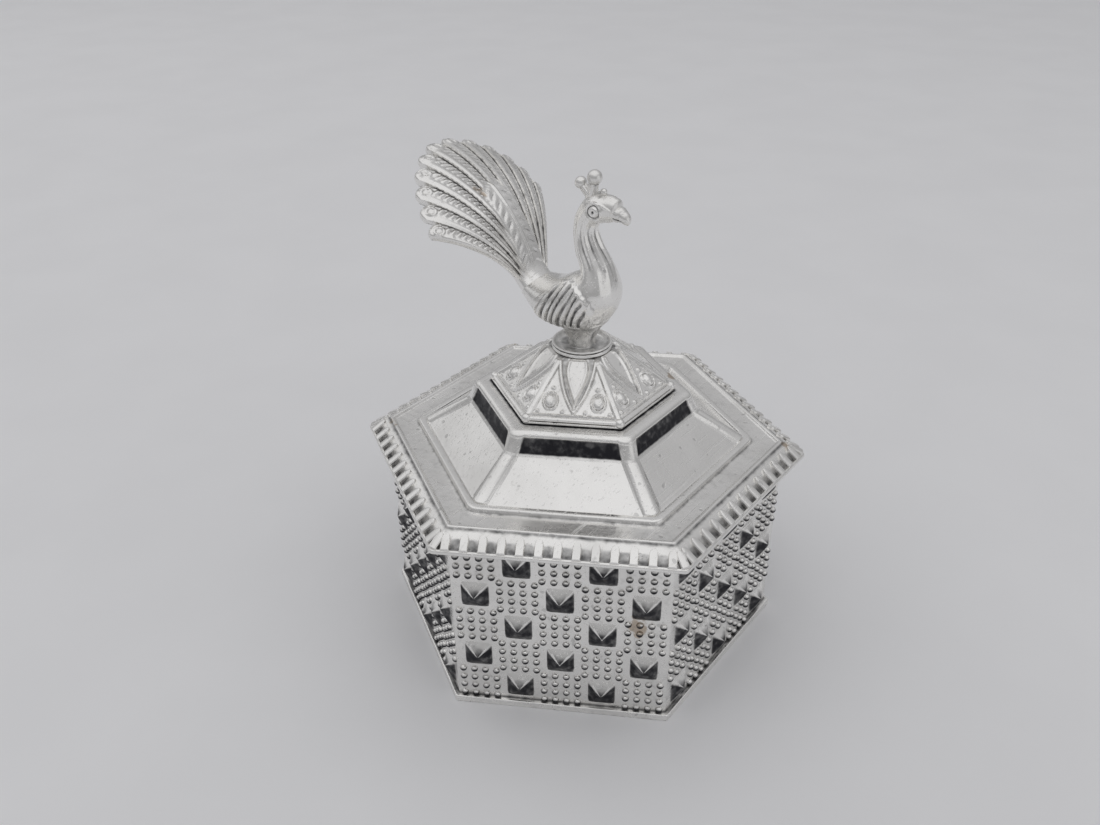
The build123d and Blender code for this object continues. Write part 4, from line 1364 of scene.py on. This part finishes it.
floor_grid = closed_grid(floor_disc())
floor_mesh = bpy.data.meshes.new("floor")
floor_mesh.from_pydata(floor_grid.points.tolist(), [], floor_grid.faces.tolist())
merge_poles(floor_mesh)
floor = bpy.data.objects.new("floor", floor_mesh)
bpy.context.scene.collection.objects.link(floor)
floor_paint = bpy.data.materials.new("floor_paint")
floor_paint.use_nodes = True
paint = floor_paint.node_tree
paint_shader = paint.nodes["Principled BSDF"]
paint_shader.inputs["Roughness"].default_value = FLOOR_ROUGHNESS
paint_place = paint.nodes.new("ShaderNodeTexCoord").outputs["Object"]
mottle = fade(paint, speckle(paint, paint_place, MOTTLE_SCALE, 4), 0.3, 0.7)
feed(paint, blended(paint, mottle, *FLOOR_TONES), paint_shader.inputs["Base Color"])
floor_mesh.materials.append(floor_paint)
print("floor radius", FLOOR_RADIUS, "m")

# %% Lights
def softbox(name, place, aim, size, radiance):
    """Rectangular light that looks from place to aim; power = radiance x pi x area."""
    data = bpy.data.lights.new(name, "AREA")
    data.shape = "RECTANGLE"
    data.size, data.size_y = size
    data.energy = radiance * np.pi * size[0] * size[1]
    light = bpy.data.objects.new(name, data)
    bpy.context.scene.collection.objects.link(light)
    gaze = np.array(aim) - np.array(place)
    gaze = gaze / np.linalg.norm(gaze)
    right = np.cross(gaze, [0.0, 0.0, 1.0])
    right = right / np.linalg.norm(right)
    up = np.cross(right, gaze)
    turned = np.stack([right, up, -gaze], axis=1)
    light.matrix_world = Matrix.Translation(place) @ Matrix(turned.tolist()).to_4x4()


# Name, place, aim, size and radiance
SOFTBOXES = [
    ("overhead", (-0.05, -0.12, 0.80), (-0.05, -0.121, 0), (1.5, 1.3), 0.28),
    ("left_panel", (-0.75, -0.05, 0.42), (0, 0, 0.04), (0.70, 0.35), 0.25),
    ("right_panel", (0.75, 0.05, 0.20), (0, 0, 0.05), (0.60, 0.40), 0.3),
]
ROOM_TONES = [(0.32, 0.32, 0.325, 1), (0.50, 0.50, 0.51, 1)]
ROOM_FADE = (0.05, 0.75)
for row in SOFTBOXES:
    softbox(*row)
world = bpy.data.worlds.new("room")
bpy.context.scene.world = world
world.use_nodes = True
room = world.node_tree
direction = room.nodes.new("ShaderNodeSeparateXYZ")
room.links.new(room.nodes.new("ShaderNodeTexCoord").outputs["Generated"], direction.inputs[0])
sky = fade(room, direction.outputs["Z"], *ROOM_FADE)
feed(room, blended(room, sky, *ROOM_TONES), room.nodes["Background"].inputs["Color"])

# %% [markdown]
# The camera has the photograph's viewing angle, which comes from fitting the hexagon's corners.
# Its axis passes beside the origin, so the place is a distance back plus two small moves in its own plane.

# %% Camera
CAMERA_AZIMUTH = 38.28
CAMERA_ELEVATION = 31.42
CAMERA_ROLL = -0.82
CAMERA_DISTANCE = 0.181584
CAMERA_MOVE = (-0.005569, 0.031889)
FOCAL_PIXELS = 1001.4
IMAGE_WIDTH = 1100
SENSOR_WIDTH = 36.0
CLIP_START = 0.005
azimuth, elevation, roll = np.radians([CAMERA_AZIMUTH, CAMERA_ELEVATION, CAMERA_ROLL])
level = np.array([np.cos(azimuth), np.sin(azimuth), 0.0])
ahead = np.array([-np.sin(azimuth), np.cos(azimuth), 0.0])
back = -np.cos(elevation) * ahead + np.sin(elevation) * np.array([0.0, 0.0, 1.0])
upright = np.cross(back, level)
right = np.cos(roll) * level + np.sin(roll) * upright
top = -np.sin(roll) * level + np.cos(roll) * upright
eye_place = back * CAMERA_DISTANCE + right * CAMERA_MOVE[0] + top * CAMERA_MOVE[1]
camera_data = bpy.data.cameras.new("camera")
camera_data.sensor_width = SENSOR_WIDTH
camera_data.lens = FOCAL_PIXELS / IMAGE_WIDTH * SENSOR_WIDTH
camera_data.clip_start = CLIP_START
camera = bpy.data.objects.new("camera", camera_data)
bpy.context.scene.collection.objects.link(camera)
turned = Matrix(np.stack([right, top, back], axis=1).tolist()).to_4x4()
camera.matrix_world = Matrix.Translation(eye_place.tolist()) @ turned
bpy.context.scene.camera = camera
bpy.context.scene.view_settings.view_transform = "Standard"
print("camera at", [round(float(x), 4) for x in eye_place])
